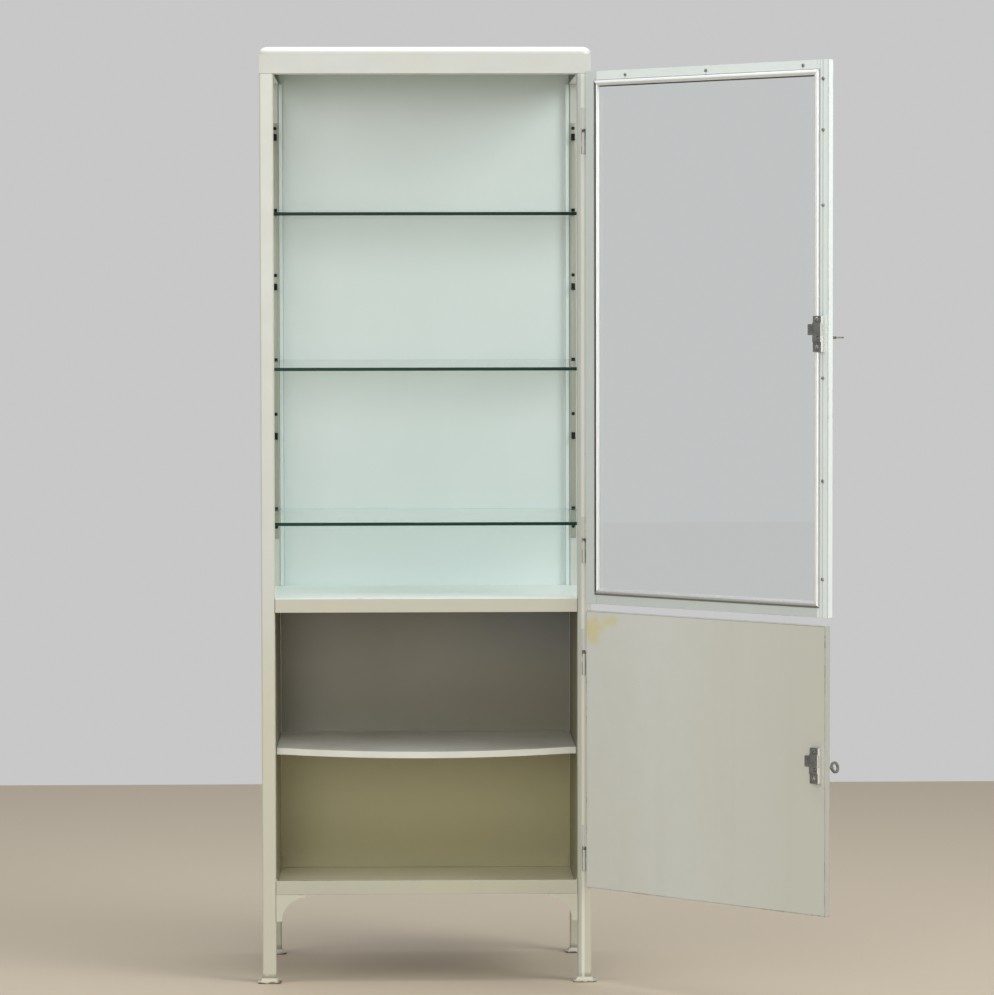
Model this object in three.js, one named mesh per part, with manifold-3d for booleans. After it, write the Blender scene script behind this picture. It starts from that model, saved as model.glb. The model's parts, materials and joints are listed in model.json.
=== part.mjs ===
// A steel medicine cabinet with a glazed upper door, a solid lower door, glass shelves above
// and one steel shelf below. Millimetres, +Z up, the front faces -Y, both doors hang on the right.
import * as THREE from 'three';
import { mergeVertices } from 'three/addons/utils/BufferGeometryUtils.js';
import Module from 'manifold-3d';

const wasm = await Module();
wasm.setup();

// Carcass
const WIDTH = 600;
const DEPTH = 380;
const HEIGHT = 1702;
const POST = 25;
const POST_RADIUS = 3;
const TUBE_WALL = 1.5;
const SHEET = 1.5;
const CAP_HEIGHT = 49;
const CAP_SIDE_RADIUS = 16;
const CAP_FRONT_RADIUS = 12;
const CAP_WALL = 2;
const MIDDLE_TOP = 702.5;
const MIDDLE_RAIL = 25.5;
const BASE_BOTTOM = 162;
const BASE_RAIL = 25;
const SIDE_GLASS = 4;
const SIDE_GLASS_INSET = 3;
const BACK_INSET = 14;
const BATTEN_WIDTH = 7;
const BATTEN_DEPTH = 10;

// Feet and knee gussets
const FOOT_WIDTH = 42;
const FOOT_HEIGHT = 9;
const FOOT_PLATE = 3;
const FOOT_RADIUS = 9;
const FOOT_COLLAR_MARGIN = 5;
const GUSSET_WIDTH = 53;
const GUSSET_HEIGHT = 49;
const GUSSET_RADIUS = 43;
const GUSSET_SHEET = 2;
const GUSSET_SETBACK = 0;

// Shelves
const SHELF_COUNT = 3;
const SHELF_GLASS = 6;
const SHELF_SIDE_GAP = 3;
const SHELF_END_GAP = 0.75;
const SHELF_RISE = 10;
const SHELF_SEAT = 0.05;
const LOWEST_SHELF = 833;
const CLIP_PITCH = 141.25;
const CLIPS_PER_SHELF = 2;
const STANDARD_WIDTH = 10;
const STANDARD_SHEET = 2;
const STANDARD_INSET = 14;
const STANDARD_MARGIN = 40;
const CLIP_WIDTH = 7;
const TONGUE_LENGTH = 14;
const TONGUE_SHEET = 3;
const UPSTAND_HEIGHT = 13;
const UPSTAND_DEPTH = 4;
const STEEL_SHELF_TOP = 424;
const STEEL_SHELF_FRONT = 62;
const STEEL_SHELF_LIP = 12;
const STEEL_SHELF_SAG = 8;
const STEEL_SHELF_STEPS = 12;
const LEDGE_WIDTH = 10;
const LEDGE_HEIGHT = 14;

// Doors, measured when shut
const HINGE_INSET = 13.5;
const HINGE_STANDOFF = 4;
const DOOR_STANDOFF = 0.5;
const DOOR_THICKNESS = 12;
const DOOR_HINGE_GAP = 8.5;
const DOOR_LAP_FREE = 8.5;
const UPPER_LAP_TOP = 3;
const UPPER_LAP_BOTTOM = 9;
const LOWER_LAP_TOP = 3;
const LOWER_LAP_BOTTOM = 12.5;
const UPPER_DOOR_OPEN = 135.6;
const LOWER_DOOR_OPEN = 134.9;
const STILE_FLAT = 19.5;
const RAIL_FLAT = 16;
const FRAME_LIP = 6;
const FRAME_LIP_SHEET = 4;
const DOOR_GLASS = 4;
const GLASS_EDGE_GAP = 2;
const BEAD_WIDTH = 9.5;
const BEAD_PROUD = 2.4;
const BEAD_GAP = 2;
const DOOR_SKIN = 1.2;

// Barrel hinges, each a pintle on the post and a knuckle on the door
const KNUCKLE_RADIUS = 3.6;
const KNUCKLE_HEIGHT = 41.5;
const KNUCKLE_GAP = 0.6;
const KNUCKLE_ROOF = 5;
const PIN_RADIUS = 1.9;
const PIN_CLEARANCE = 0.35;
const PIN_LENGTH = 32;
const HINGE_LEAF = 1.8;
const HINGE_WEB = 3;
const PINTLE_TAB = 5.5;
const UPPER_HINGE_MARGIN = 106.5;
const UPPER_HINGE_FOOT = 114.5;
const LOWER_HINGE_MARGIN = 76;
const LOWER_HINGE_FOOT = 71;

// Rim locks
const UPPER_LOCK_Z = 1184;
const LOWER_LOCK_Z = 437;
const LOCK_EDGE = 10;
const LOCK_WIDTH = 18;
const LOCK_DEPTH = 10;
const LOCK_LOBE = 8;
const LOCK_HEIGHT = 62;
const LOCK_BODY_TOP = 19.5;
const LOCK_BODY_BOTTOM = -14;
const BOLT_RISE = 7.5;
const BOLT_HEIGHT = 19;
const BOLT_SHEET = 3.6;
const BOLT_LENGTH = 29;
const BOLT_FRONT_WALL = 1.6;
const BOLT_SHY = 0.5;
const STRIKE_CLEARANCE = 2;
const KEY_DROP = 6.5;
const KEY_FROM_CASE = 6;
const KEY_RADIUS = 2.4;
const KEYHOLE_RADIUS = 3.2;
const KEY_REACH = 33.5;
const KEY_BOW_RADIUS = 10.5;
const KEY_BOW_HOLE = 6;
const KEY_BOW_SHEET = 2.6;
const KEY_TIP = 8;
const KEY_BIT = 4.3;
const KEY_BIT_SHEET = 2.6;
const WARD_RADIUS = 4.9;
const WARD_DEPTH = 3.8;
const UPPER_KEY_TURN = 90;
const LOWER_KEY_TURN = 12;

// Clearance between neighbouring pieces, and how finely round stretches are stepped
const FIT = 0.3;
const CORNER_STEPS = 4;
const ARC_STEPS = 12;
const BARREL_SIDES = 16;

// Places worked out from the sizes above
const OUTER_X = WIDTH / 2;
const POST_INNER_X = OUTER_X - POST;
const REAR_POST_Y = DEPTH - POST;
const CAP_BOTTOM = HEIGHT - CAP_HEIGHT;
const MIDDLE_BOTTOM = MIDDLE_TOP - MIDDLE_RAIL;
const BASE_TOP = BASE_BOTTOM + BASE_RAIL;
const BACK_Y = DEPTH - BACK_INSET;
const HINGE_X = OUTER_X - HINGE_INSET;
const DOOR_INNER = HINGE_STANDOFF - DOOR_STANDOFF;
const DOOR_OUTER = DOOR_INNER - DOOR_THICKNESS;
const DOOR_HINGE_EDGE = -DOOR_HINGE_GAP;
const DOOR_FREE_EDGE = -(HINGE_X + POST_INNER_X + DOOR_LAP_FREE);
const STILE_WIDTH = STILE_FLAT + FRAME_LIP;
const RAIL_WIDTH = RAIL_FLAT + FRAME_LIP;
const UPPER_DOOR_Z = [MIDDLE_TOP - UPPER_LAP_BOTTOM, CAP_BOTTOM + UPPER_LAP_TOP];
const LOWER_DOOR_Z = [BASE_TOP - LOWER_LAP_BOTTOM, MIDDLE_BOTTOM + LOWER_LAP_TOP];
const PANE_Y = DOOR_OUTER + FRAME_LIP_SHEET + FIT;
const LOCK_FACE = DOOR_INNER + LOCK_DEPTH;
const LOCK_FREE_X = DOOR_FREE_EDGE + LOCK_EDGE;
const BOLT_Y = [LOCK_FACE - BOLT_FRONT_WALL - BOLT_SHEET, LOCK_FACE - BOLT_FRONT_WALL];
const KEY_X = LOCK_FREE_X + KEY_FROM_CASE;

// Finishes
const enamel = () => new THREE.MeshStandardMaterial({ color: 0xd9dacf, roughness: 0.38, metalness: 0 });
const whiteEnamel = () => new THREE.MeshStandardMaterial({ color: 0xdfe4de, roughness: 0.35, metalness: 0 });
const oliveEnamel = () => new THREE.MeshStandardMaterial({ color: 0xb9bba9, roughness: 0.45, metalness: 0 });
const clearGlass = () => new THREE.MeshStandardMaterial({
  color: 0xd4e6df, roughness: 0.05, metalness: 0, transparent: true, opacity: 0.3,
});
const brightAluminium = () => new THREE.MeshStandardMaterial({
  color: 0xd8dad6,
  roughness: 0.3,
  metalness: 0.9,
});
const darkSteel = () => new THREE.MeshStandardMaterial({ color: 0x53544f, roughness: 0.5, metalness: 0.8 });
const keySteel = () => new THREE.MeshStandardMaterial({ color: 0x8a8a82, roughness: 0.4, metalness: 0.9 });

// Shapes
function slab(xs, ys, zs) {
  const [width, depth, height] = [xs, ys, zs].map(([from, to]) => Math.abs(to - from));
  const geometry = new THREE.BoxGeometry(width, depth, height);
  return geometry.translate((xs[0] + xs[1]) / 2, (ys[0] + ys[1]) / 2, (zs[0] + zs[1]) / 2);
}

function roundedRectangle(xs, ys, radius) {
  const [left, right] = [...xs].sort((a, b) => a - b);
  const [low, high] = [...ys].sort((a, b) => a - b);
  const outline = new THREE.Shape();
  outline.moveTo(left + radius, low);
  outline.absarc(right - radius, low + radius, radius, -Math.PI / 2, 0, false);
  outline.absarc(right - radius, high - radius, radius, 0, Math.PI / 2, false);
  outline.absarc(left + radius, high - radius, radius, Math.PI / 2, Math.PI, false);
  outline.absarc(left + radius, low + radius, radius, Math.PI, Math.PI * 1.5, false);
  return outline;
}

function polygon(points) {
  return new THREE.Shape(points.map(([x, y]) => new THREE.Vector2(x, y)));
}

function extrudeUp(outline, zs, steps = CORNER_STEPS) {
  const options = { depth: zs[1] - zs[0], bevelEnabled: false, curveSegments: steps };
  return new THREE.ExtrudeGeometry(outline, options).translate(0, 0, zs[0]);
}

// An outline drawn in X and Z, pushed back along Y
function extrudeBack(outline, ys, steps = CORNER_STEPS) {
  const options = { depth: ys[1] - ys[0], bevelEnabled: false, curveSegments: steps };
  return new THREE.ExtrudeGeometry(outline, options).rotateX(Math.PI / 2).translate(0, ys[1], 0);
}

// An outline drawn in Y and Z, pushed across along X
function extrudeAcross(outline, xs, steps = CORNER_STEPS) {
  const options = { depth: xs[1] - xs[0], bevelEnabled: false, curveSegments: steps };
  const turn = new THREE.Matrix4().makeBasis(
    new THREE.Vector3(0, 1, 0), new THREE.Vector3(0, 0, 1), new THREE.Vector3(1, 0, 0));
  return new THREE.ExtrudeGeometry(outline, options).applyMatrix4(turn).translate(xs[0], 0, 0);
}

function uprightRod(x, y, zs, radius) {
  const rod = new THREE.CylinderGeometry(radius, radius, zs[1] - zs[0], BARREL_SIDES);
  return rod.rotateX(Math.PI / 2).translate(x, y, (zs[0] + zs[1]) / 2);
}

function levelRod(x, ys, z, radius) {
  const rod = new THREE.CylinderGeometry(radius, radius, ys[1] - ys[0], BARREL_SIDES);
  return rod.translate(x, (ys[0] + ys[1]) / 2, z);
}

// Joining and cutting
function asSolid(geometry) {
  const bare = geometry.clone();
  bare.deleteAttribute('normal');
  bare.deleteAttribute('uv');
  const merged = mergeVertices(bare, 1e-4);
  return new wasm.Manifold(new wasm.Mesh({
    numProp: 3,
    vertProperties: new Float32Array(merged.attributes.position.array),
    triVerts: new Uint32Array(merged.index.array),
  }));
}

function asGeometry(solid) {
  const mesh = solid.getMesh();
  const geometry = new THREE.BufferGeometry();
  geometry.setAttribute('position', new THREE.BufferAttribute(new Float32Array(mesh.vertProperties), 3));
  geometry.setIndex(new THREE.BufferAttribute(new Uint32Array(mesh.triVerts), 1));
  const flat = geometry.toNonIndexed();
  flat.computeVertexNormals();
  return flat;
}

function join(first, ...others) {
  return asGeometry(others.reduce((whole, next) => whole.add(asSolid(next)), asSolid(first)));
}

function cut(first, ...others) {
  return asGeometry(others.reduce((whole, next) => whole.subtract(asSolid(next)), asSolid(first)));
}

function common(first, ...others) {
  return asGeometry(others.reduce((whole, next) => whole.intersect(asSolid(next)), asSolid(first)));
}

// The scene graph: a fixed carcass and two doors that turn on their hinge pins
const cabinet = new THREE.Group();
const carcass = new THREE.Group();
const upperDoor = new THREE.Group();
const lowerDoor = new THREE.Group();
for (const [door, angle] of [[upperDoor, UPPER_DOOR_OPEN], [lowerDoor, LOWER_DOOR_OPEN]]) {
  door.position.set(HINGE_X, -HINGE_STANDOFF, 0);
  door.rotation.z = THREE.MathUtils.degToRad(angle);
}
carcass.add(upperDoor, lowerDoor);
cabinet.add(carcass);
// The origin is on the floor, under the middle of the front left foot
carcass.position.set(OUTER_X - POST / 2, -POST / 2, 0);

function place(parent, name, geometry, material) {
  const mesh = new THREE.Mesh(geometry, material);
  mesh.name = name;
  parent.add(mesh);
  return mesh;
}

const SIDES = [['left', -1], ['right', 1]];
const ENDS = [['front', [0, POST]], ['rear', [REAR_POST_Y, DEPTH]]];
const LOCKS = [
  ['upper', upperDoor, UPPER_LOCK_Z, UPPER_KEY_TURN],
  ['lower', lowerDoor, LOWER_LOCK_Z, LOWER_KEY_TURN],
];

// Corner posts: square tube standing on the feet, with bolt slots in the front left one
function post(side, ys) {
  const xs = [side * POST_INNER_X, side * OUTER_X];
  const outline = roundedRectangle(xs, ys, POST_RADIUS);
  const hollowX = [xs[0] + side * TUBE_WALL, xs[1] - side * TUBE_WALL];
  const hollowY = [ys[0] + TUBE_WALL, ys[1] - TUBE_WALL];
  outline.holes.push(roundedRectangle(hollowX, hollowY, POST_RADIUS - TUBE_WALL));
  return extrudeUp(outline, [FOOT_HEIGHT, CAP_BOTTOM]);
}

function boltSlot(lockZ) {
  const wallX = -POST_INNER_X;
  const boltZ = lockZ + BOLT_RISE;
  const reach = BOLT_HEIGHT / 2 + STRIKE_CLEARANCE;
  const ys = BOLT_Y.map((y) => y - HINGE_STANDOFF);
  return slab(
    [wallX - 2 * TUBE_WALL, wallX + TUBE_WALL],
    [ys[0] - STRIKE_CLEARANCE, ys[1] + STRIKE_CLEARANCE],
    [boltZ - reach, boltZ + reach]);
}

for (const [sideName, side] of SIDES) {
  for (const [endName, ys] of ENDS) {
    const tube = post(side, ys);
    const takesBolts = side < 0 && endName === 'front';
    const shape = takesBolts ? cut(tube, ...LOCKS.map(([, , lockZ]) => boltSlot(lockZ))) : tube;
    place(carcass, `${sideName}_${endName}_post`, shape, enamel());
  }
}

// Feet: a flared pressed shoe under each post
function foot(x, y) {
  const half = FOOT_WIDTH / 2;
  const flange = roundedRectangle([x - half, x + half], [y - half, y + half], FOOT_RADIUS);
  const plate = extrudeUp(flange, [0, FOOT_PLATE]);
  const collarTop = (POST / 2) * Math.SQRT2;
  const collarFoot = (POST / 2 + FOOT_COLLAR_MARGIN) * Math.SQRT2;
  const sunk = FOOT_PLATE / 2;
  const collar = new THREE.CylinderGeometry(collarTop, collarFoot, FOOT_HEIGHT - sunk, 4);
  collar.rotateY(Math.PI / 4).rotateX(Math.PI / 2).translate(x, y, (FOOT_HEIGHT + sunk) / 2);
  return join(plate, collar);
}

for (const [sideName, side] of SIDES) {
  for (const [endName, ys] of ENDS) {
    const shape = foot(side * (OUTER_X - POST / 2), (ys[0] + ys[1]) / 2);
    place(carcass, `${sideName}_${endName}_foot`, shape, enamel());
  }
}

// Top cap: a pressed lid, rounded along its top edges, open underneath
function capForm(inset) {
  const xs = [-OUTER_X + inset, OUTER_X - inset];
  const ys = [inset, DEPTH - inset];
  const top = HEIGHT - inset;
  const low = CAP_BOTTOM - CAP_SIDE_RADIUS - CAP_FRONT_RADIUS;
  const front = extrudeBack(roundedRectangle(xs, [low, top], CAP_SIDE_RADIUS - inset), ys);
  const sideOn = extrudeAcross(roundedRectangle(ys, [low, top], CAP_FRONT_RADIUS - inset), xs);
  const plan = extrudeUp(roundedRectangle(xs, ys, POST_RADIUS), [CAP_BOTTOM, HEIGHT]);
  return common(front, sideOn, plan);
}

place(carcass, 'top_cap', cut(capForm(0), capForm(CAP_WALL)), enamel());

// Head frame: a flat U inside the lid's rim that the posts and side panes stand up to
const headInset = CAP_WALL + FIT;
const headPlan = roundedRectangle(
  [-OUTER_X + headInset, OUTER_X - headInset], [headInset, DEPTH - headInset], POST_RADIUS);
const headFrame = cut(
  extrudeUp(headPlan, [CAP_BOTTOM, CAP_BOTTOM + SHEET]),
  slab([-POST_INNER_X, POST_INNER_X], [POST, DEPTH], [CAP_BOTTOM - SHEET, CAP_BOTTOM + 2 * SHEET]));
place(carcass, 'head_frame', headFrame, enamel());

// Back panel: one sheet from the base up into the lid, with a stiffening batten folded along each
// edge of the upper bay
function backPanel() {
  const edge = POST_INNER_X - FIT;
  const batten = edge - BATTEN_WIDTH;
  const inPan = edge - SHEET - FIT;
  const front = BACK_Y - BATTEN_DEPTH;
  const rear = BACK_Y + SHEET;
  const panelZ = [MIDDLE_TOP + FIT, CAP_BOTTOM - FIT];
  const outline = polygon([
    [-edge, rear], [-edge, front], [-batten, front], [-batten, BACK_Y],
    [batten, BACK_Y], [batten, front], [edge, front], [edge, rear],
  ]);
  return join(
    extrudeUp(outline, panelZ),
    slab([-edge, edge], [BACK_Y, rear], [BASE_TOP + FIT, HEIGHT - CAP_WALL - FIT]),
    slab([-inPan, inPan], [BACK_Y, rear], [BASE_BOTTOM + SHEET + FIT, BASE_TOP + 2 * FIT]));
}

place(carcass, 'back_panel', backPanel(), whiteEnamel());

// Sides: glass above, steel below with a lining flush with the posts
const sideSpan = [POST + FIT, REAR_POST_Y - FIT];
for (const [sideName, side] of SIDES) {
  const glassX = [side * (OUTER_X - SIDE_GLASS_INSET), side * (OUTER_X - SIDE_GLASS_INSET - SIDE_GLASS)];
  const glass = slab(glassX, sideSpan, [MIDDLE_TOP + FIT, CAP_BOTTOM - FIT]);
  place(carcass, `${sideName}_side_glass`, glass, clearGlass());
  const panelX = [side * (OUTER_X - FIT), side * (OUTER_X - FIT - SHEET)];
  const panel = slab(panelX, sideSpan, [BASE_TOP + FIT, MIDDLE_BOTTOM - FIT]);
  place(carcass, `${sideName}_side_panel`, panel, oliveEnamel());
  const liningX = [side * POST_INNER_X, side * (POST_INNER_X + SHEET)];
  const liningY = [sideSpan[0] + SHEET + FIT, sideSpan[1] - SHEET - FIT];
  const lining = slab(liningX, liningY, [BASE_BOTTOM + SHEET + FIT, MIDDLE_TOP - SHEET - FIT]);
  place(carcass, `${sideName}_side_lining`, lining, oliveEnamel());
}

// Floors: folded trays notched round the posts. The middle one turns down, the base one turns up.
function trayOutline(inset, rearHalfWidth, rearEdge) {
  const wide = OUTER_X - inset;
  const narrow = POST_INNER_X - FIT - inset;
  const rear = rearHalfWidth - inset;
  const front = inset;
  const frontNotch = POST + FIT + inset;
  const rearNotch = REAR_POST_Y - FIT - inset;
  const back = rearEdge - inset;
  return polygon([
    [-narrow, front], [narrow, front], [narrow, frontNotch], [wide, frontNotch], [wide, rearNotch],
    [rear, rearNotch], [rear, back], [-rear, back], [-rear, rearNotch],
    [-wide, rearNotch], [-wide, frontNotch], [-narrow, frontNotch],
  ]);
}

const middleRear = [POST_INNER_X - FIT, BACK_Y - FIT];
const middleFloor = cut(
  extrudeUp(trayOutline(0, ...middleRear), [MIDDLE_BOTTOM, MIDDLE_TOP]),
  extrudeUp(trayOutline(SHEET, ...middleRear), [MIDDLE_BOTTOM - SHEET, MIDDLE_TOP - SHEET]));
place(carcass, 'middle_floor', middleFloor, enamel());

const baseRear = [POST_INNER_X - FIT, DEPTH];
const basePan = cut(
  extrudeUp(trayOutline(0, ...baseRear), [BASE_BOTTOM, BASE_TOP]),
  extrudeUp(trayOutline(SHEET, ...baseRear), [BASE_BOTTOM + SHEET, BASE_TOP + SHEET]));
place(carcass, 'base_pan', basePan, enamel());

// Knee gussets: a plate with a round bite, between each post and the base pan
function gusset(side, ys) {
  const legX = POST_INNER_X - FIT;
  const tipX = legX - GUSSET_WIDTH;
  const top = BASE_BOTTOM - FIT;
  const bottom = top - GUSSET_HEIGHT;
  const outline = new THREE.Shape();
  outline.moveTo(side * legX, top);
  outline.lineTo(side * tipX, top);
  outline.lineTo(side * tipX, bottom + GUSSET_RADIUS);
  const turn = side > 0 ? [Math.PI / 2, 0] : [Math.PI / 2, Math.PI];
  outline.absarc(side * tipX, bottom, GUSSET_RADIUS, ...turn, side > 0);
  outline.lineTo(side * legX, bottom);
  return extrudeBack(outline, ys, ARC_STEPS);
}

const gussetEnds = [
  ['front', [GUSSET_SETBACK, GUSSET_SETBACK + GUSSET_SHEET]],
  ['rear', [DEPTH - GUSSET_SETBACK - GUSSET_SHEET, DEPTH - GUSSET_SETBACK]],
];
for (const [sideName, side] of SIDES) {
  for (const [endName, ys] of gussetEnds) {
    place(carcass, `${sideName}_${endName}_gusset`, gusset(side, ys), enamel());
  }
}

// Shelf standards: a strip on each post with a clip at every pitch, a tongue below the glass
// and an upstand at its edge. The rear clips sit higher, so the shelves tip forward.
const clipCount = SHELF_COUNT * CLIPS_PER_SHELF;
const clipHeights = Array.from({ length: clipCount }, (_, index) => LOWEST_SHELF + index * CLIP_PITCH);

function standard(side, faceY, inward, rise) {
  const middle = side * (POST_INNER_X + STANDARD_INSET / 2);
  const across = (width) => [middle - width / 2, middle + width / 2];
  const face = faceY + inward * STANDARD_SHEET;
  const seats = clipHeights.map((z) => z + rise);
  const strip = slab(
    across(STANDARD_WIDTH), [faceY, face],
    [clipHeights[0] - STANDARD_MARGIN, clipHeights[clipCount - 1] + STANDARD_MARGIN]);
  const sunk = face - (inward * STANDARD_SHEET) / 2;
  const clips = seats.flatMap((z) => {
    const tongue = slab(across(CLIP_WIDTH), [sunk, face + inward * TONGUE_LENGTH], [z - TONGUE_SHEET, z]);
    const top = z + SHELF_GLASS / 2 + UPSTAND_HEIGHT / 2;
    const upstand = slab(across(CLIP_WIDTH), [sunk, face + inward * UPSTAND_DEPTH], [z - TONGUE_SHEET, top]);
    return [tongue, upstand];
  });
  return join(strip, ...clips);
}

for (const [sideName, side] of SIDES) {
  place(carcass, `${sideName}_front_standard`, standard(side, POST, 1, 0), enamel());
  place(carcass, `${sideName}_rear_standard`, standard(side, REAR_POST_Y, -1, SHELF_RISE), enamel());
}

// Glass shelves resting on the clip tongues, between the upstands
const shelfX = OUTER_X - SIDE_GLASS_INSET - SIDE_GLASS - SHELF_SIDE_GAP;
const shelfInset = STANDARD_SHEET + UPSTAND_DEPTH + SHELF_END_GAP;
const shelfY = [POST + shelfInset, REAR_POST_Y - shelfInset];
const seatY = [shelfY[0], REAR_POST_Y - STANDARD_SHEET - TONGUE_LENGTH];
const shelfSlope = SHELF_RISE / (seatY[1] - seatY[0]);
const shelfHeight = (y) => shelfSlope * (y - seatY[0]);

function glassShelf(seat) {
  const low = seat + SHELF_SEAT;
  const outline = polygon([
    [shelfY[0], low + shelfHeight(shelfY[0])], [shelfY[1], low + shelfHeight(shelfY[1])],
    [shelfY[1], low + SHELF_GLASS + shelfHeight(shelfY[1])],
    [shelfY[0], low + SHELF_GLASS + shelfHeight(shelfY[0])],
  ]);
  return extrudeAcross(outline, [-shelfX, shelfX]);
}

for (let index = 0; index < SHELF_COUNT; index += 1) {
  const seat = clipHeights[index * CLIPS_PER_SHELF];
  place(carcass, `glass_shelf_${SHELF_COUNT - index}`, glassShelf(seat), clearGlass());
}

// Steel shelf below, its front lip sagging between two ledges
const steelShelfX = POST_INNER_X - 2 * FIT;
const steelShelfY = [STEEL_SHELF_FRONT, BACK_Y - FIT];
const lipY = [STEEL_SHELF_FRONT, STEEL_SHELF_FRONT + SHEET];
const levelX = steelShelfX - LEDGE_WIDTH - FIT;

function sagged(xs, ys, zs, rows) {
  const size = [xs[1] - xs[0], ys[1] - ys[0], zs[1] - zs[0]];
  const geometry = new THREE.BoxGeometry(...size, STEEL_SHELF_STEPS, rows, 1);
  geometry.translate((xs[0] + xs[1]) / 2, (ys[0] + ys[1]) / 2, (zs[0] + zs[1]) / 2);
  const points = geometry.attributes.position;
  const depth = steelShelfY[1] - steelShelfY[0];
  for (let index = 0; index < points.count; index += 1) {
    const across = Math.min(1, Math.abs(points.getX(index)) / levelX);
    const forward = Math.min(1, (steelShelfY[1] - points.getY(index)) / depth);
    points.setZ(index, points.getZ(index) - STEEL_SHELF_SAG * (1 - across * across) * forward);
  }
  return geometry;
}

const shelfSheetZ = [STEEL_SHELF_TOP - SHEET, STEEL_SHELF_TOP];
const shelfLipZ = [STEEL_SHELF_TOP - STEEL_SHELF_LIP, STEEL_SHELF_TOP - SHEET / 2];
const steelShelf = join(
  sagged([-levelX, levelX], steelShelfY, shelfSheetZ, 2),
  sagged([-levelX, levelX], lipY, shelfLipZ, 1),
  ...[-1, 1].flatMap((side) => {
    const endX = side < 0 ? [-steelShelfX, -levelX + SHEET] : [levelX - SHEET, steelShelfX];
    return [slab(endX, steelShelfY, shelfSheetZ), slab(endX, lipY, shelfLipZ)];
  }));
place(carcass, 'steel_shelf', steelShelf, oliveEnamel());

for (const [sideName, side] of SIDES) {
  const wall = side * (POST_INNER_X - FIT);
  const inner = wall - side * LEDGE_WIDTH;
  const top = shelfSheetZ[0];
  const ledge = polygon([
    [wall, top], [inner, top], [inner, top - SHEET],
    [wall - side * SHEET, top - SHEET], [wall - side * SHEET, top - LEDGE_HEIGHT],
    [wall, top - LEDGE_HEIGHT],
  ]);
  const ledgeY = [STEEL_SHELF_FRONT + 2 * SHEET, REAR_POST_Y - FIT];
  place(carcass, `${sideName}_shelf_ledge`, extrudeBack(ledge, ledgeY), oliveEnamel());
}

// Upper door: a rebated steel frame, a pane, and mitred beads that hold the pane from inside
function rebate(xs, zs) {
  return slab(xs, [DOOR_OUTER + FRAME_LIP_SHEET, DOOR_INNER + FIT], zs);
}

const doorX = [DOOR_FREE_EDGE, DOOR_HINGE_EDGE];
const doorY = [DOOR_OUTER, DOOR_INNER];
const pocketX = [doorX[0] + STILE_FLAT, doorX[1] - STILE_FLAT];
const pocketZ = [UPPER_DOOR_Z[0] + RAIL_FLAT, UPPER_DOOR_Z[1] - RAIL_FLAT];
const sightX = [doorX[0] + STILE_WIDTH, doorX[1] - STILE_WIDTH];

function keyhole(lockZ) {
  return levelRod(KEY_X, [DOOR_OUTER - FIT, DOOR_INNER + FIT], lockZ - KEY_DROP, KEYHOLE_RADIUS);
}

const hingeStile = cut(
  slab([sightX[1], doorX[1]], doorY, UPPER_DOOR_Z),
  rebate([sightX[1] - FIT, pocketX[1]], pocketZ),
);
place(upperDoor, 'hinge_stile', hingeStile, enamel());
const lockStile = cut(
  slab([doorX[0], sightX[0]], doorY, UPPER_DOOR_Z),
  rebate([pocketX[0], sightX[0] + FIT], pocketZ),
  keyhole(UPPER_LOCK_Z));
place(upperDoor, 'lock_stile', lockStile, enamel());

const railX = [sightX[0] + FIT, sightX[1] - FIT];
const railCutX = [railX[0] - FIT, railX[1] + FIT];
const topRailZ = [UPPER_DOOR_Z[1] - RAIL_WIDTH, UPPER_DOOR_Z[1]];
const bottomRailZ = [UPPER_DOOR_Z[0], UPPER_DOOR_Z[0] + RAIL_WIDTH];
const topRail = cut(slab(railX, doorY, topRailZ), rebate(railCutX, [topRailZ[0] - FIT, pocketZ[1]]));
const bottomRail = cut(slab(railX, doorY, bottomRailZ), rebate(railCutX, [pocketZ[0], bottomRailZ[1] + FIT]));
place(upperDoor, 'top_rail', topRail, enamel());
place(upperDoor, 'bottom_rail', bottomRail, enamel());

const paneX = [pocketX[0] + GLASS_EDGE_GAP, pocketX[1] - GLASS_EDGE_GAP];
const paneZ = [pocketZ[0] + GLASS_EDGE_GAP, pocketZ[1] - GLASS_EDGE_GAP];
place(upperDoor, 'door_glass', slab(paneX, [PANE_Y, PANE_Y + DOOR_GLASS], paneZ), clearGlass());

const beadY = [PANE_Y + DOOR_GLASS + FIT, DOOR_INNER + BEAD_PROUD];
const beadX = [pocketX[0] + BEAD_GAP, pocketX[1] - BEAD_GAP];
const beadZ = [pocketZ[0] + BEAD_GAP, pocketZ[1] - BEAD_GAP];
const beadInX = [beadX[0] + BEAD_WIDTH, beadX[1] - BEAD_WIDTH];
const beadInZ = [beadZ[0] + BEAD_WIDTH, beadZ[1] - BEAD_WIDTH];

function levelBead(outer, inner) {
  const outline = polygon([
    [beadX[0] + FIT, outer], [beadX[1] - FIT, outer],
    [beadInX[1] - FIT, inner], [beadInX[0] + FIT, inner],
  ]);
  return extrudeBack(outline, beadY);
}

function uprightBead(outer, inner) {
  const outline = polygon([
    [outer, beadZ[0]], [outer, beadZ[1]],
    [inner, beadInZ[1]], [inner, beadInZ[0]],
  ]);
  return extrudeBack(outline, beadY);
}

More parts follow.
